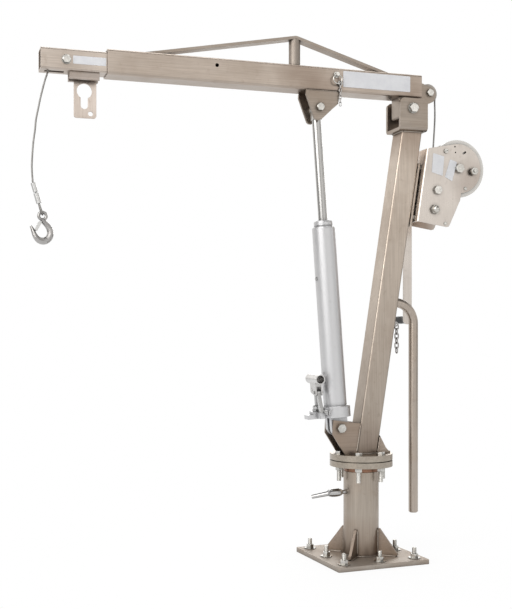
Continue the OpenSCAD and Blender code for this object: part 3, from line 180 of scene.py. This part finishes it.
# The free end of the wire cable, with the route that the solids follow: over the front sheave, in a
# slack bow down to the sleeves, and through them. Its points are in mm from the sheave's axis.
FRONT_SHEAVE = Vector((-0.835626, 0, 1.3438))
TIP = [(-0.9, 15), (-4, 15), (-12, 14.5), (-25, 8.5), (-36, -4), (-42, -18), (-46, -34.5), (-51.3, -50.5),
       (-61.3, -89.5), (-69.3, -128.5), (-74.3, -154.5), (-76.8, -180.5), (-81.3, -215.5), (-84.3, -258.5),
       (-84.6, -283.5)]
SLEEVE_TOP = FRONT_SHEAVE + mm((-82.3, 0, -315.5))
SLEEVE_END = FRONT_SHEAVE + mm((-66.6, 0, -369.5))
tip_points = [FRONT_SHEAVE + mm((x, 0, z)) for x, z in TIP]
tip_points += [SLEEVE_TOP + mm((-0.6, 0, 6)), SLEEVE_TOP, SLEEVE_TOP.lerp(SLEEVE_END, 0.5),
               SLEEVE_TOP.lerp(SLEEVE_END, 0.92)]
tip_path = even_steps(smooth_curve(tip_points))
hoist_cable = wire("hoist_cable", tip_path)
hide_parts("hoist_cable_tip")
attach(hoist_cable, "hook_line")

# The short loop through the hook's eye, in mm from the eye's centre
HOOK_EYE = FRONT_SHEAVE + mm((-57.8, 0, -401.5))
LOOP = [(-9.2, -3, 32.0), (-6, -7, 20), (-3, -8, 11.5), (-1, -5.6, 5.6), (0, 0, 2.9), (-1, 5.6, 5.6),
        (-3, 8, 11.5), (-6, 7, 20), (-9.2, 3, 32.0)]
loop_path = even_steps(smooth_curve([HOOK_EYE + mm(p) for p in LOOP]))
hook_loop = wire("hook_loop", loop_path, ref=(1, 0, 0))
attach(hook_loop, "hook_line")

# The wound drum: the outer layer's radius at the cable's middle, and where it starts and how it advances
REAR_SHEAVE = Vector((0.210074, 0, 1.3348))
DRUM = Vector((0.285993, 0, 1.11408))
LAYER = 0.0582
WIND_ANGLE = math.radians(176.8)
WIND_Y = 0.0059
PITCH = 0.0053
TURNS = 8
TURN_STEPS = 160
WINDING_SIDES = 21
leaving = Vector((math.sin(WIND_ANGLE), 0, -math.cos(WIND_ANGLE)))
start = DRUM + Vector((LAYER * math.cos(WIND_ANGLE), WIND_Y, LAYER * math.sin(WIND_ANGLE)))

# The lead from the drum up to the rear sheave. It stays on the mast up to the bend's height, and goes
# over to the boom between there and the sheave.
lead_points = [start + (CABLE_D + 0.0003) * leaving, start + (CABLE_D + 0.014) * leaving,
               DRUM + mm((-55, 5, 59)), DRUM + mm((-50.6, 2.5, 147.3)), REAR_SHEAVE + mm((23.7, 0.3, -24)),
               REAR_SHEAVE + mm((24, 0, -12)), REAR_SHEAVE + mm((24, 0, -1.2))]
lead_path = even_steps(smooth_curve(lead_points))
lead = wire("lead_cable", lead_path)
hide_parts("cable_lead")
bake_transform(lead)

# The outer layer, from the lead's foot to the far flange
wind_path = [start + CABLE_D * leaving]
for i in range(TURNS * TURN_STEPS + 1):
    angle = WIND_ANGLE + i * 2 * math.pi / TURN_STEPS
    wind_path.append(DRUM + Vector((LAYER * math.cos(angle), WIND_Y - i * PITCH / TURN_STEPS,
                                    LAYER * math.sin(angle))))
winding = wire("winding", wind_path, WINDING_SIDES)

# The layers under it: one ribbed core, whose ribs show between the outer turns
CORE_ROWS = 120
CORE_SIDES = 128
CORE_DEPTH = 0.0042
CORE_RIB = 0.0012
core_low = WIND_Y - TURNS * PITCH - CABLE_D / 2
core_high = WIND_Y + CABLE_D / 2
core_verts = []
for i in range(CORE_ROWS + 1):
    y = core_low + (core_high - core_low) * i / CORE_ROWS
    wave = abs(math.cos(math.pi * (y - WIND_Y + PITCH / 2) / PITCH))
    r = LAYER - CORE_DEPTH - CORE_RIB * (1 - wave)
    for k in range(CORE_SIDES):
        angle = 2 * math.pi * k / CORE_SIDES
        core_verts.append(DRUM + Vector((r * math.cos(angle), y, r * math.sin(angle))))
core = new_object("winding_core", mesh_from("winding_core", core_verts, grid_faces(CORE_ROWS, CORE_SIDES)))
for piece in (winding, core):
    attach(piece, "drum")
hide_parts("drum_cable")


class Tree:
    """A short way to write the node tree of a material or of the world."""

    def __init__(self, owner):
        owner.use_nodes = True
        self.tree = owner.node_tree
        self.tree.nodes.clear()

    def add(self, kind, **values):
        """A new node, with its properties and its inputs by name, where _ stands for a space."""
        node = self.tree.nodes.new(kind)
        for key, value in values.items():
            if hasattr(node, key):
                setattr(node, key, value)
            else:
                node.inputs[key.replace("_", " ")].default_value = value
        return node

    def link(self, a, a_socket, b, b_socket):
        self.tree.links.new(a.outputs[a_socket], b.inputs[b_socket])

    def maths(self, operation, *sources):
        """A maths node. Each source is a number or a pair of a node and its socket."""
        node = self.add("ShaderNodeMath", operation=operation)
        for at, source in enumerate(sources):
            if isinstance(source, tuple):
                self.link(*source, node, at)
            else:
                node.inputs[at].default_value = source
        return node

    def ramp(self, source, socket, stops, interpolation="LINEAR"):
        ramp = self.add("ShaderNodeValToRGB")
        ramp.color_ramp.interpolation = interpolation
        elements = ramp.color_ramp.elements
        while len(elements) < len(stops):
            elements.new(0.5)
        for element, (at, colour) in zip(elements, stops):
            element.position = at
            element.color = (*colour, 1)
        self.link(source, socket, ramp, "Fac")
        return ramp

    def range(self, source, socket, low, high, a=0.0, b=1.0):
        """Levels from low to high while the source goes from a to b."""
        node = self.add("ShaderNodeMapRange", From_Min=a, From_Max=b, To_Min=low, To_Max=high)
        self.link(source, socket, node, "Value")
        return node

    def mix(self, factor, factor_socket, a, a_socket, b, b_socket=None, mode="MIX"):
        """Two colours mixed by a number or a node's output. The second may be a plain colour."""
        node = self.add("ShaderNodeMix", data_type="RGBA", blend_type=mode)
        if isinstance(factor, float):
            node.inputs[0].default_value = factor
        else:
            self.link(factor, factor_socket, node, 0)
        self.link(a, a_socket, node, 6)
        if isinstance(b, tuple):
            node.inputs[7].default_value = (*b, 1)
        else:
            self.link(b, b_socket, node, 7)
        return node

    def mix_shaders(self, factor, factor_socket, a, b):
        node = self.add("ShaderNodeMixShader")
        self.link(factor, factor_socket, node, 0)
        self.link(a, 0, node, 1)
        self.link(b, 0, node, 2)
        return node


class Finish(Tree):
    """A material with one main shader, in the object's own coordinates."""

    def __init__(self, name):
        self.mat = bpy.data.materials.new(name)
        super().__init__(self.mat)
        self.out = self.add("ShaderNodeOutputMaterial")
        self.bsdf = self.add("ShaderNodeBsdfPrincipled")
        self.link(self.bsdf, "BSDF", self.out, "Surface")
        self.coord = self.add("ShaderNodeTexCoord")

    def noise(self, scale, stretch=(1, 1, 1), detail=4.0, rough=0.55):
        mapping = self.add("ShaderNodeMapping", Scale=stretch)
        self.link(self.coord, "Object", mapping, "Vector")
        noise = self.add("ShaderNodeTexNoise", Scale=scale, Detail=detail, Roughness=rough)
        self.link(mapping, "Vector", noise, "Vector")
        return noise

    def bump(self, source, socket, strength, distance, bevel=0.0006):
        """Relief on the surface: over what was there before, or else over slightly rounded edges."""
        node = self.add("ShaderNodeBump", Strength=strength, Distance=distance)
        self.link(source, socket, node, "Height")
        below = self.bsdf.inputs["Normal"].links
        if below:
            self.link(below[0].from_node, "Normal", node, "Normal")
        elif bevel:
            round_edge = self.add("ShaderNodeBevel", samples=3, Radius=bevel)
            self.link(round_edge, "Normal", node, "Normal")
        self.link(node, "Normal", self.bsdf, "Normal")

    def dress(self, *pieces):
        for obj in pieces:
            obj.data.materials.clear()
            obj.data.materials.append(self.mat)


def scaled(colour, k):
    return tuple(min(1.0, c * k) for c in colour)


BRUSH_WAYS = {"X": (0.02, 1, 1), "Y": (1, 0.02, 1), "Z": (1, 1, 0.02), "": (1, 1, 1)}
BRUSH_DEPTH = 0.0002
CLOUD_SCALE = 9.0
SPOT_SCALE = 60.0
HEAT_COLOUR = (0.20, 0.13, 0.09)
# How far the painted shade in corners and gaps reaches
SHADE_REACH = 0.012


def steel(name, colour, along="X", rough=(0.28, 0.46), streak=0.16, tint=(0.36, 0.27, 0.20), stain=0.35,
          metallic=1.0, bevel=0.0008, heat=(), grain=420.0, bump=0.12, painted_gap_shade=0.45, painted_height_shade=None):
    """Brushed stainless: streaks along an axis, a cloudy tint, painted shade in corners and gaps, and brown
    spots, which near welds are heat colour.

    heat lists spots as centre, radius and strength. The height shading is a low and a high Z with the tone at
    each: painted shade, darker or lighter with height.
    """
    g = Finish(name)
    brush = g.noise(grain, BRUSH_WAYS[along], 3.0, 0.6)
    cloud = g.noise(CLOUD_SCALE, (1, 1, 1), 5.0, 0.6)
    fine = g.noise(SPOT_SCALE, (1, 1, 1), 3.0, 0.6)
    tone = g.ramp(brush, "Fac", [(0.25, scaled(colour, 1 - streak)), (0.75, scaled(colour, 1 + streak))])
    clouds = g.range(cloud, "Fac", 0.0, stain, 0.45, 0.75)
    colours = g.mix(clouds, "Result", tone, "Color", tint)
    spots = g.range(fine, "Fac", 0.0, 0.25, 0.58, 0.75)
    colours = g.mix(spots, "Result", colours, 2, scaled(tint, 0.7))
    for centre, radius, strength in heat:
        near = g.add("ShaderNodeVectorMath", operation="DISTANCE")
        g.link(g.coord, "Object", near, 0)
        near.inputs[1].default_value = centre
        glow = g.range(near, "Value", strength, 0.0, radius * 0.35, radius)
        colours = g.mix(glow, "Result", colours, 2, HEAT_COLOUR)
    # Painted shading by height: the tone goes from one level low down to another high up
    if painted_height_shade is not None:
        low, high, low_tone, high_tone = painted_height_shade
        split = g.add("ShaderNodeSeparateXYZ")
        g.link(g.coord, "Object", split, "Vector")
        height_shade_tone = g.range(split, "Z", low_tone, high_tone, low, high)
        colours = g.mix(1.0, None, colours, 2, height_shade_tone, "Result", "MULTIPLY")
    # Painted shade: the colour is darkened in corners, in gaps and between parts, where shade falls
    if painted_gap_shade < 1:
        corner = g.add("ShaderNodeAmbientOcclusion", samples=4, Distance=SHADE_REACH)
        shade = g.range(corner, "AO", painted_gap_shade, 1.0, 0.35, 0.95)
        colours = g.mix(1.0, None, colours, 2, shade, "Result", "MULTIPLY")
    g.link(colours, 2, g.bsdf, "Base Color")
    g.bsdf.inputs["Metallic"].default_value = metallic
    roughness = g.range(cloud, "Fac", rough[0], rough[1], 0.3, 0.7)
    g.link(roughness, "Result", g.bsdf, "Roughness")
    g.bump(brush, "Fac", bump, BRUSH_DEPTH, bevel)
    return g


def zinc(name):
    """Plated steel of bolts and nuts: bright, with dark patches that are partly tarnish and partly painted
    reflection of dark surroundings, and a lumpy mirror.
    """
    g = steel(name, (0.66, 0.645, 0.61), "", (0.14, 0.28), streak=0.22, stain=0.75, tint=(0.2, 0.19, 0.17),
              grain=150.0)
    g.bump(g.noise(130.0, (1, 1, 1), 2.0, 0.5), "Fac", 0.55, 0.0012)
    return g


def threaded(name, axis, pitch, low, high):
    """Plated steel with thread bands along an axis, between two places on it."""
    g = zinc(name)
    split = g.add("ShaderNodeSeparateXYZ")
    g.link(g.coord, "Object", split, "Vector")
    wave = g.maths("SINE", (g.maths("MULTIPLY", (split, axis), 2 * math.pi / pitch), 0))
    inside = g.maths("COMPARE", (split, axis), (low + high) / 2, abs(high - low) / 2)
    g.bump(g.maths("MULTIPLY", (wave, 0), (inside, 0)), 0, 0.35, 0.0004)
    return g


def rubber(name):
    g = Finish(name)
    fine = g.noise(700.0, (1, 1, 1), 2.0)
    tone = g.ramp(fine, "Fac", [(0.3, (0.012, 0.012, 0.012)), (0.7, (0.03, 0.03, 0.03))])
    g.link(tone, "Color", g.bsdf, "Base Color")
    g.link(g.range(fine, "Fac", 0.5, 0.7), "Result", g.bsdf, "Roughness")
    g.bump(fine, "Fac", 0.3, 0.0002)
    return g


# Places where the metal is coloured: near welds by their heat, and on the winch, where no weld is, two spots
# darkened brown
POST_FOOT = (0, 0, 0.02)
MAST_FOOT = (0.01, 0, 0.30)
MAST_HEAD = (0.145, 0, 1.216)
STRUT_FOOT = (-0.202, 0, 1.377)
LUG_TOP = (0.14, 0, 1.313)
EARS_TOP = (-0.13, 0, 1.313)
WINCH_NEAR_SIDE = (0.335, -0.048, 1.07)
WINCH_FAR_CORNER = (0.205, 0.046, 0.95)

# The threads' pitches
M12_PITCH = 0.00175
M16_PITCH = 0.002

plate_mat = steel("plate_steel", (0.42, 0.375, 0.33), "X", (0.54, 0.66), stain=0.45)
base_mat = steel("post_steel", (0.385, 0.335, 0.285), "Z", (0.3, 0.44), stain=0.4,
                 heat=[(POST_FOOT, 0.12, 0.5)])
# The mast is painted darker towards its foot and lighter towards its head, as shading
mast_mat = steel("mast_steel", (0.55, 0.475, 0.405), "Z", (0.34, 0.46), stain=0.35,
                 painted_height_shade=(0.3, 1.2, 0.67, 1.04), heat=[(MAST_FOOT, 0.10, 0.5), (MAST_HEAD, 0.11, 0.5)])
boom_mat = steel("boom_steel", (0.46, 0.395, 0.34), "X", (0.26, 0.4), stain=0.3,
                 heat=[(STRUT_FOOT, 0.09, 0.45), (LUG_TOP, 0.08, 0.45), (EARS_TOP, 0.09, 0.4)])
inner_mat = steel("inner_steel", (0.52, 0.455, 0.40), "X", (0.24, 0.38), stain=0.25, painted_gap_shade=0.85)
bracket_mat = steel("bracket_steel", (0.35, 0.30, 0.255), "X", (0.32, 0.46), stain=0.5, grain=260.0)
flange_mat = steel("flange_steel", (0.39, 0.345, 0.29), "", (0.26, 0.38), stain=0.4, grain=200.0)
truss_mat = steel("truss_steel", (0.37, 0.32, 0.275), "X", (0.34, 0.46), stain=0.4)
strut_mat = steel("strut_steel", (0.36, 0.315, 0.275), "Z", (0.5, 0.6), stain=0.3)
key_mat = steel("keyhole_steel", (0.66, 0.58, 0.52), "Z", (0.32, 0.46), stain=0.3)
# The saddle's colour is darkened as painted shade, for the shadow under the inner boom
shaded_saddle_mat = steel("saddle_painted_shade", (0.43, 0.375, 0.335), "X", (0.32, 0.46), streak=0.24, stain=0.6,
                   grain=260.0)
foot_mat = steel("foot_steel", (0.31, 0.25, 0.205), "X", (0.32, 0.46), stain=0.5, grain=260.0)
winch_mat = steel("winch_steel", (0.61, 0.56, 0.515), "Z", (0.24, 0.36), streak=0.06, stain=0.2,
                  tint=(0.46, 0.41, 0.36),
                  heat=[(WINCH_NEAR_SIDE, 0.085, 0.3), (WINCH_FAR_CORNER, 0.07, 0.65)])
# The drum gets strong painted shade round its flange, behind the side plate's edge
drum_mat = steel("drum_steel", (0.60, 0.585, 0.56), "Y", (0.2, 0.3), streak=0.08, stain=0.3,
                 tint=(0.36, 0.35, 0.33), painted_gap_shade=0.25)
sheave_mat = steel("sheave_steel", (0.36, 0.33, 0.30), "Y", (0.3, 0.42), streak=0.1, stain=0.3,
                   tint=(0.25, 0.22, 0.2))
socket_mat = steel("socket_steel", (0.66, 0.65, 0.64), "", (0.2, 0.32), streak=0.08, stain=0.3,
                   tint=(0.36, 0.35, 0.34), bevel=0.0012, grain=120.0, painted_gap_shade=0.8)
bright_mat = zinc("bright_steel")
turned_mat = steel("turned_steel", (0.60, 0.58, 0.54), "Y", (0.22, 0.36), streak=0.1, stain=0.2,
                   tint=(0.4, 0.36, 0.31))
wire_mat = steel("wire_steel", (0.30, 0.292, 0.28), "", (0.42, 0.55), streak=0.1, stain=0.3,
                 tint=(0.2, 0.19, 0.175), bevel=0, grain=300.0, painted_gap_shade=0.8)
swing_mat = steel("swing_steel", (0.43, 0.375, 0.325), "Z", (0.26, 0.4), stain=0.35)
bronze_mat = steel("bronze", (0.30, 0.165, 0.11), "", (0.3, 0.45), streak=0.15, stain=0.4,
                   tint=(0.12, 0.07, 0.05), grain=120.0)
stud_mat = threaded("stud_steel", "Z", M12_PITCH, 0.0265, 0.05)
flange_bolt_mat = threaded("flange_bolt_steel", "Z", M12_PITCH, 0.2, 0.262)
cross_mat = threaded("cross_bolt_steel", "Y", M16_PITCH, 0.045, 0.09)
silver_mat = steel("silver_paint", (0.61, 0.61, 0.618), "Z", (0.34, 0.42), streak=0.02, stain=0.08,
                   tint=(0.6, 0.6, 0.6), metallic=0.8, grain=90.0, bump=0.02)
chrome_mat = steel("hard_chrome", (0.47, 0.465, 0.46), "Z", (0.06, 0.14), streak=0.02, stain=0.05,
                   tint=(0.55, 0.55, 0.55))
rod_mat = steel("rod_chrome", (0.44, 0.435, 0.425), "Z", (0.17, 0.25), streak=0.04, stain=0.1,
                tint=(0.4, 0.39, 0.38))
mount_mat = steel("mount_steel", (0.54, 0.475, 0.415), "Z", (0.3, 0.42), stain=0.3, painted_gap_shade=0.9)
pump_mat = steel("pump_steel", (0.54, 0.54, 0.538), "", (0.14, 0.26), streak=0.08, stain=0.35,
                 tint=(0.3, 0.29, 0.28), bevel=0.0012, grain=120.0, painted_gap_shade=0.3)
hook_mat = steel("hook_steel", (0.44, 0.43, 0.42), "", (0.2, 0.32), streak=0.05, stain=0.3,
                 tint=(0.25, 0.24, 0.23), bevel=0.001, grain=60.0, bump=0.05)
sleeve_mat = steel("sleeve_alloy", (0.66, 0.66, 0.65), "", (0.24, 0.36), streak=0.04, stain=0.15,
                   tint=(0.4, 0.4, 0.4), bevel=0.001, grain=60.0, bump=0.05, painted_gap_shade=0.3)
grip_mat = rubber("grip_rubber")

FINISHES = {
    "base_plate": plate_mat, "base_post": base_mat, "base_gussets": foot_mat, "thrust_ring": bronze_mat,
    "anchor_studs": stud_mat, "anchor_nuts": bright_mat, "anchor_washers": bright_mat,
    "clamp_lever": chrome_mat, "pivot_post": turned_mat, "lower_flange": flange_mat,
    "mast_flange": flange_mat, "flange_bolts": flange_bolt_mat, "flange_nuts": bright_mat,
    "mast_tube": mast_mat, "ram_foot_bracket": foot_mat, "mast_rear_gussets": bracket_mat,
    "ram_foot_bolt": cross_mat, "head_bracket": bracket_mat, "head_pivot_bolt": cross_mat,
    "swing_handle": swing_mat, "mast_chain": hook_mat, "winch_mount": mount_mat, "winch_frame": winch_mat,
    "winch_fasteners": bright_mat, "winch_drum": drum_mat, "winch_intermediate": turned_mat,
    "crank_shaft": turned_mat, "crank_arm": winch_mat, "crank_grip": grip_mat, "boom_tube": boom_mat,
    "boom_lug": bracket_mat, "ram_head_bracket": bracket_mat, "ram_head_bolt": cross_mat,
    "truss_bar": truss_mat, "truss_strut": strut_mat, "rear_sheave_bracket": bracket_mat,
    "rear_sheave_bolt": bright_mat, "lanyard": hook_mat, "cable_boom": wire_mat, "rear_sheave": sheave_mat,
    "lock_pin": bright_mat, "inner_boom": inner_mat, "keyhole_plate": key_mat, "keyhole_saddle": shaded_saddle_mat,
    "front_sheave_bolt": bright_mat, "front_sheave": sheave_mat, "ram_rod": rod_mat,
    "ram_cylinder": silver_mat, "ram_base": silver_mat, "pump_body": pump_mat, "pump_piston": chrome_mat,
    "handle_socket": socket_mat, "release_valve": pump_mat, "cable_sleeves": sleeve_mat,
    "lifting_hook": hook_mat, "hook_latch": sleeve_mat,
}
for node, finish in FINISHES.items():
    finish.dress(nodes[node])
wire_mat.dress(hoist_cable, hook_loop, lead, winding, core)

# Welds: rippled beads along the seams, each riding on the body that it joins
weld_mat = steel("weld_bead", (0.40, 0.35, 0.30), "", (0.25, 0.4), streak=0.1, stain=0.6,
                 tint=(0.18, 0.12, 0.09), bevel=0, grain=200.0)
WELD_SIDES = 8
RIPPLES = 900


def weld(name, points, body, radius=0.0028, closed=False, ref=(0, 0.13, 0.99)):
    """A bead along points. It thins towards its ends, unless it closes on itself."""
    points = [Vector(p) for p in points]
    if closed:
        points = points + [points[0]]

    def thickness(part, along):
        ripple = 0.86 + 0.2 * abs(math.sin(along * RIPPLES))
        return ripple if closed else ripple * min(1, 0.3 + 8 * min(part, 1 - part))

    obj = new_object(name, tube(name, even_steps(points), radius, WELD_SIDES, ref, taper=thickness))
    weld_mat.dress(obj)
    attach(obj, body)


def circle_points(radius, centre, count):
    points = []
    for i in range(count):
        angle = 2 * math.pi * i / count
        points.append((centre[0] + radius * math.cos(angle), centre[1] + radius * math.sin(angle), centre[2]))
    return points


# Round the base post's foot, and on both sides of the four gussets
POST_R = 0.0508
SEAM_Z = 0.0135
GUSSET_TURN = 48.77
GUSSET_SIDE = 0.0046


def beside_gusset(i, side, radius, z):
    angle = math.radians(GUSSET_TURN + 90 * i)
    c = math.cos(angle)
    s = math.sin(angle)
    off = side * GUSSET_SIDE
    return (radius * c - off * s, radius * s + off * c, z)


weld("weld_post", circle_points(POST_R, (0, 0, SEAM_Z), 72), "base", closed=True)
for i in range(4):
    for side in (-1, 1):
        weld("weld_gusset_%d_%d" % (i, side),
             [beside_gusset(i, side, 0.054, SEAM_Z), beside_gusset(i, side, 0.104, SEAM_Z)], "base")
        weld("weld_gusset_up_%d_%d" % (i, side),
             [beside_gusset(i, side, 0.0505, 0.016), beside_gusset(i, side, 0.0505, 0.086)], "base",
             ref=(1, 0.1, 0))

# Round both ends of the leaning mast tube, up the plates that join it, and on the boom
LEAN = math.radians(8.76)
MAST_HALF = 0.03175
MAST_BASE_X = -0.04175
BEAD_LIFT = 0.0008
BEAD_PROUD = 0.0005
SEAM_CORNER = 0.005
FLANGE_Z = 0.3
PLATE_Y = 0.0318
LUG_Y = 0.023532
EARS_Y = 0.032436
FRONT = -1
REAR = 1


def mast_x(z, side):
    """Where the mast tube's front or rear face is at a height."""
    return MAST_BASE_X + side * MAST_HALF / math.cos(LEAN) + math.tan(LEAN) * z


def square_seam(z, lift):
    half = MAST_HALF + BEAD_LIFT
    x0 = mast_x(z, FRONT) - BEAD_LIFT
    x1 = mast_x(z, REAR) + BEAD_LIFT
    cut = SEAM_CORNER
    outline = [(x0 + cut, -half), (x1 - cut, -half), (x1, -half + cut), (x1, half - cut),
               (x1 - cut, half), (x0 + cut, half), (x0, half - cut), (x0, -half + cut)]
    return [(x, y, z + lift) for x, y in outline]


def face_seam(side, high, y):
    """The ends of a bead that goes up one face of the mast from its flange."""
    proud = side * BEAD_PROUD
    return [(mast_x(FLANGE_Z, side) + proud, y, FLANGE_Z + 0.002), (mast_x(high, side) + proud, y, high)]


def along_boom(x0, x1, y, z):
    return [(x0, y, z), (x1, y, z)]


weld("weld_mast_foot", square_seam(0.2988, BEAD_LIFT), "mast", closed=True)
weld("weld_mast_head", square_seam(1.2163, -BEAD_LIFT), "mast", closed=True)
for i, side in enumerate((-1, 1)):
    y = side * PLATE_Y
    weld("weld_foot_plate_%d" % i, face_seam(FRONT, 0.383, y), "mast", 0.0024, ref=(0.1, 1, 0))
    weld("weld_rear_plate_%d" % i, face_seam(REAR, 0.347, y), "mast", 0.0024, ref=(0.1, 1, 0))
    weld("weld_lug_%d" % i, along_boom(0.108, 0.171, side * LUG_Y, 1.3125), "boom", 0.0026)
    weld("weld_ears_%d" % i, along_boom(-0.178, -0.081, side * EARS_Y, 1.3127), "boom", 0.0018)
weld("weld_strut", circle_points(0.0165, (-0.202, 0, 1.38), 36), "boom", closed=True)

# Blank label plates, left bare
label = Finish("blank_label")
paper = label.noise(40.0)
paper_tone = label.ramp(paper, "Fac", [(0.3, (0.64, 0.645, 0.67)), (0.7, (0.71, 0.715, 0.73))])
label.link(paper_tone, "Color", label.bsdf, "Base Color")
label.link(label.range(paper, "Fac", 0.25, 0.4), "Result", label.bsdf, "Roughness")
LABEL_THICK = 0.0004
LABEL_CORNER = 0.0025
CORNER_POINTS = 5


def sticker(name, y, corners, body):
    """A thin plate with round corners on a near face, from its corners in X and Z."""
    corners = [Vector((x, y, z)) for x, z in corners]
    outline = []
    for i, corner in enumerate(corners):
        a = corner + (corners[i - 1] - corner).normalized() * LABEL_CORNER
        b = corner + (corners[(i + 1) % len(corners)] - corner).normalized() * LABEL_CORNER
        for k in range(CORNER_POINTS):
            t = k / (CORNER_POINTS - 1)
            outline.append(a * (1 - t) ** 2 + corner * 2 * t * (1 - t) + b * t * t)
    n = len(outline)
    verts = outline + [p + Vector((0, -LABEL_THICK, 0)) for p in outline]
    faces = [tuple(range(n)), tuple(range(2 * n - 1, n - 1, -1))]
    faces += [(i, i + n, (i + 1) % n + n, (i + 1) % n) for i in range(n)]
    obj = new_object(name, mesh_from(name, verts, faces, False))
    label.dress(obj)
    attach(obj, body)


sticker("label_boom", -0.0332, [(-0.069, 1.3275), (0.138, 1.3275), (0.138, 1.3722), (-0.069, 1.3722)],
        "boom")
sticker("label_inner", -0.0277, [(-0.819, 1.334), (-0.733, 1.334), (-0.733, 1.355), (-0.819, 1.355)],
        "extension")
sticker("label_winch", -0.0482, [(0.1983, 1.1000), (0.2335, 1.0905), (0.2388, 1.1468), (0.2036, 1.1545)],
        "mast")
sticker("label_winch_small", -0.0482,
        [(0.2408, 1.0880), (0.2640, 1.0765), (0.2795, 1.1325), (0.2572, 1.1395)], "mast")

# The floor: white to the camera and in mirrors, apart from a faint shade round the base
floor_corners = [(-6, -6, 0), (6, -6, 0), (6, 6, 0), (-6, 6, 0)]
floor = new_object("floor", mesh_from("floor", floor_corners, [(0, 1, 2, 3)], False))
floor_mat = bpy.data.materials.new("floor")
ground = Tree(floor_mat)
diffuse = ground.add("ShaderNodeBsdfDiffuse", Color=(0.9, 0.9, 0.9, 1))
white = ground.add("ShaderNodeEmission", Color=(1, 1, 1, 1), Strength=1.0)
rays = ground.add("ShaderNodeLightPath")
seen = ground.maths("MAXIMUM", (rays, "Is Camera Ray"), (rays, "Is Glossy Ray"))
floor_coord = ground.add("ShaderNodeTexCoord")
from_base = ground.add("ShaderNodeVectorMath", operation="LENGTH")
ground.link(floor_coord, "Object", from_base, 0)
fade = ground.range(from_base, "Value", 0.86, 1.0, 0.15, 0.9)
whiteness = ground.maths("MULTIPLY", (seen, 0), (fade, "Result"))
surface = ground.mix_shaders(whiteness, 0, diffuse, white)
ground.link(surface, 0, ground.add("ShaderNodeOutputMaterial"), "Surface")
floor.data.materials.append(floor_mat)

# The surroundings: white to the camera, softer as light, and for metal to mirror, bright walls with
# darker cards between them. The levels go once round the part, from the back round the left, front and
# right, and from straight down to straight up.
ROUND = [(0.0, 0.8), (0.09, 0.78), (0.17, 0.5), (0.25, 0.3), (0.32, 0.85), (0.375, 0.85), (0.395, 0.25),
         (0.415, 0.8), (0.45, 0.8), (0.47, 0.3), (0.49, 0.8), (0.55, 0.84), (0.60, 0.8), (0.66, 0.4),
         (0.72, 0.25), (0.80, 0.6), (0.92, 0.75), (1.0, 0.8)]
OVER = [(0.0, 0.85), (0.42, 0.7), (0.49, 0.95), (0.55, 1.5), (0.68, 1.6), (0.76, 0.7), (0.84, 0.6),
        (0.92, 0.15), (1.0, 0.12)]
world = bpy.data.worlds.new("world")
scene.world = world
sky = Tree(world)
seen_sky = sky.add("ShaderNodeBackground", Color=(1, 1, 1, 1), Strength=1.0)
light_sky = sky.add("ShaderNodeBackground", Color=(1, 1, 1, 1), Strength=0.55)
gloss_sky = sky.add("ShaderNodeBackground", Strength=1.0)
toward = sky.add("ShaderNodeTexCoord")
split = sky.add("ShaderNodeSeparateXYZ")
sky.link(toward, "Generated", split, 0)


def levels(source, stops, scale):
    """Grey levels over a value, which is first scaled and shifted from round zero into 0 to 1."""
    place = sky.maths("MULTIPLY_ADD", source, scale, 0.5)
    return sky.ramp(place, 0, [(at, (level, level, level)) for at, level in stops], "EASE")


backward = sky.maths("MULTIPLY", (split, "Y"), -1.0)
around = sky.maths("ARCTAN2", (split, "X"), (backward, 0))
sides = levels((around, 0), ROUND, 1 / (2 * math.pi))
height = levels((split, "Z"), OVER, 0.5)
both = sky.mix(1.0, None, sides, "Color", height, "Color", "MULTIPLY")
warm = sky.mix(1.0, None, both, 2, (1.0, 0.985, 0.965), mode="MULTIPLY")
sky.link(warm, 2, gloss_sky, "Color")
rays = sky.add("ShaderNodeLightPath")
mirrored = sky.mix_shaders(rays, "Is Glossy Ray", light_sky, gloss_sky)
shown = sky.mix_shaders(rays, "Is Camera Ray", mirrored, seen_sky)
sky.link(shown, 0, sky.add("ShaderNodeOutputWorld"), "Surface")


def area(name, at, aim, size, power, colour=(1, 1, 1)):
    """A soft rectangular light, aimed at a point."""
    data = bpy.data.lights.new(name, "AREA")
    data.shape = "RECTANGLE"
    data.size = size[0]
    data.size_y = size[1]
    data.energy = power
    data.color = colour
    obj = bpy.data.objects.new(name, data)
    obj.location = at
    obj.rotation_euler = (Vector(aim) - Vector(at)).to_track_quat("-Z", "Y").to_euler()
    scene.collection.objects.link(obj)


area("key", (-3.4, -2.2, 3.0), (-0.2, 0, 0.8), (4.2, 4.2), 130, (1.0, 0.99, 0.98))
area("fill", (4.4, -1.2, 2.2), (0, 0, 0.8), (2.0, 2.6), 12)
area("top", (0.2, 0.4, 3.8), (0, 0, 0.8), (2.4, 2.4), 45)
area("back", (1.5, 3.2, 2.2), (0, 0, 0.9), (2.0, 2.0), 35)
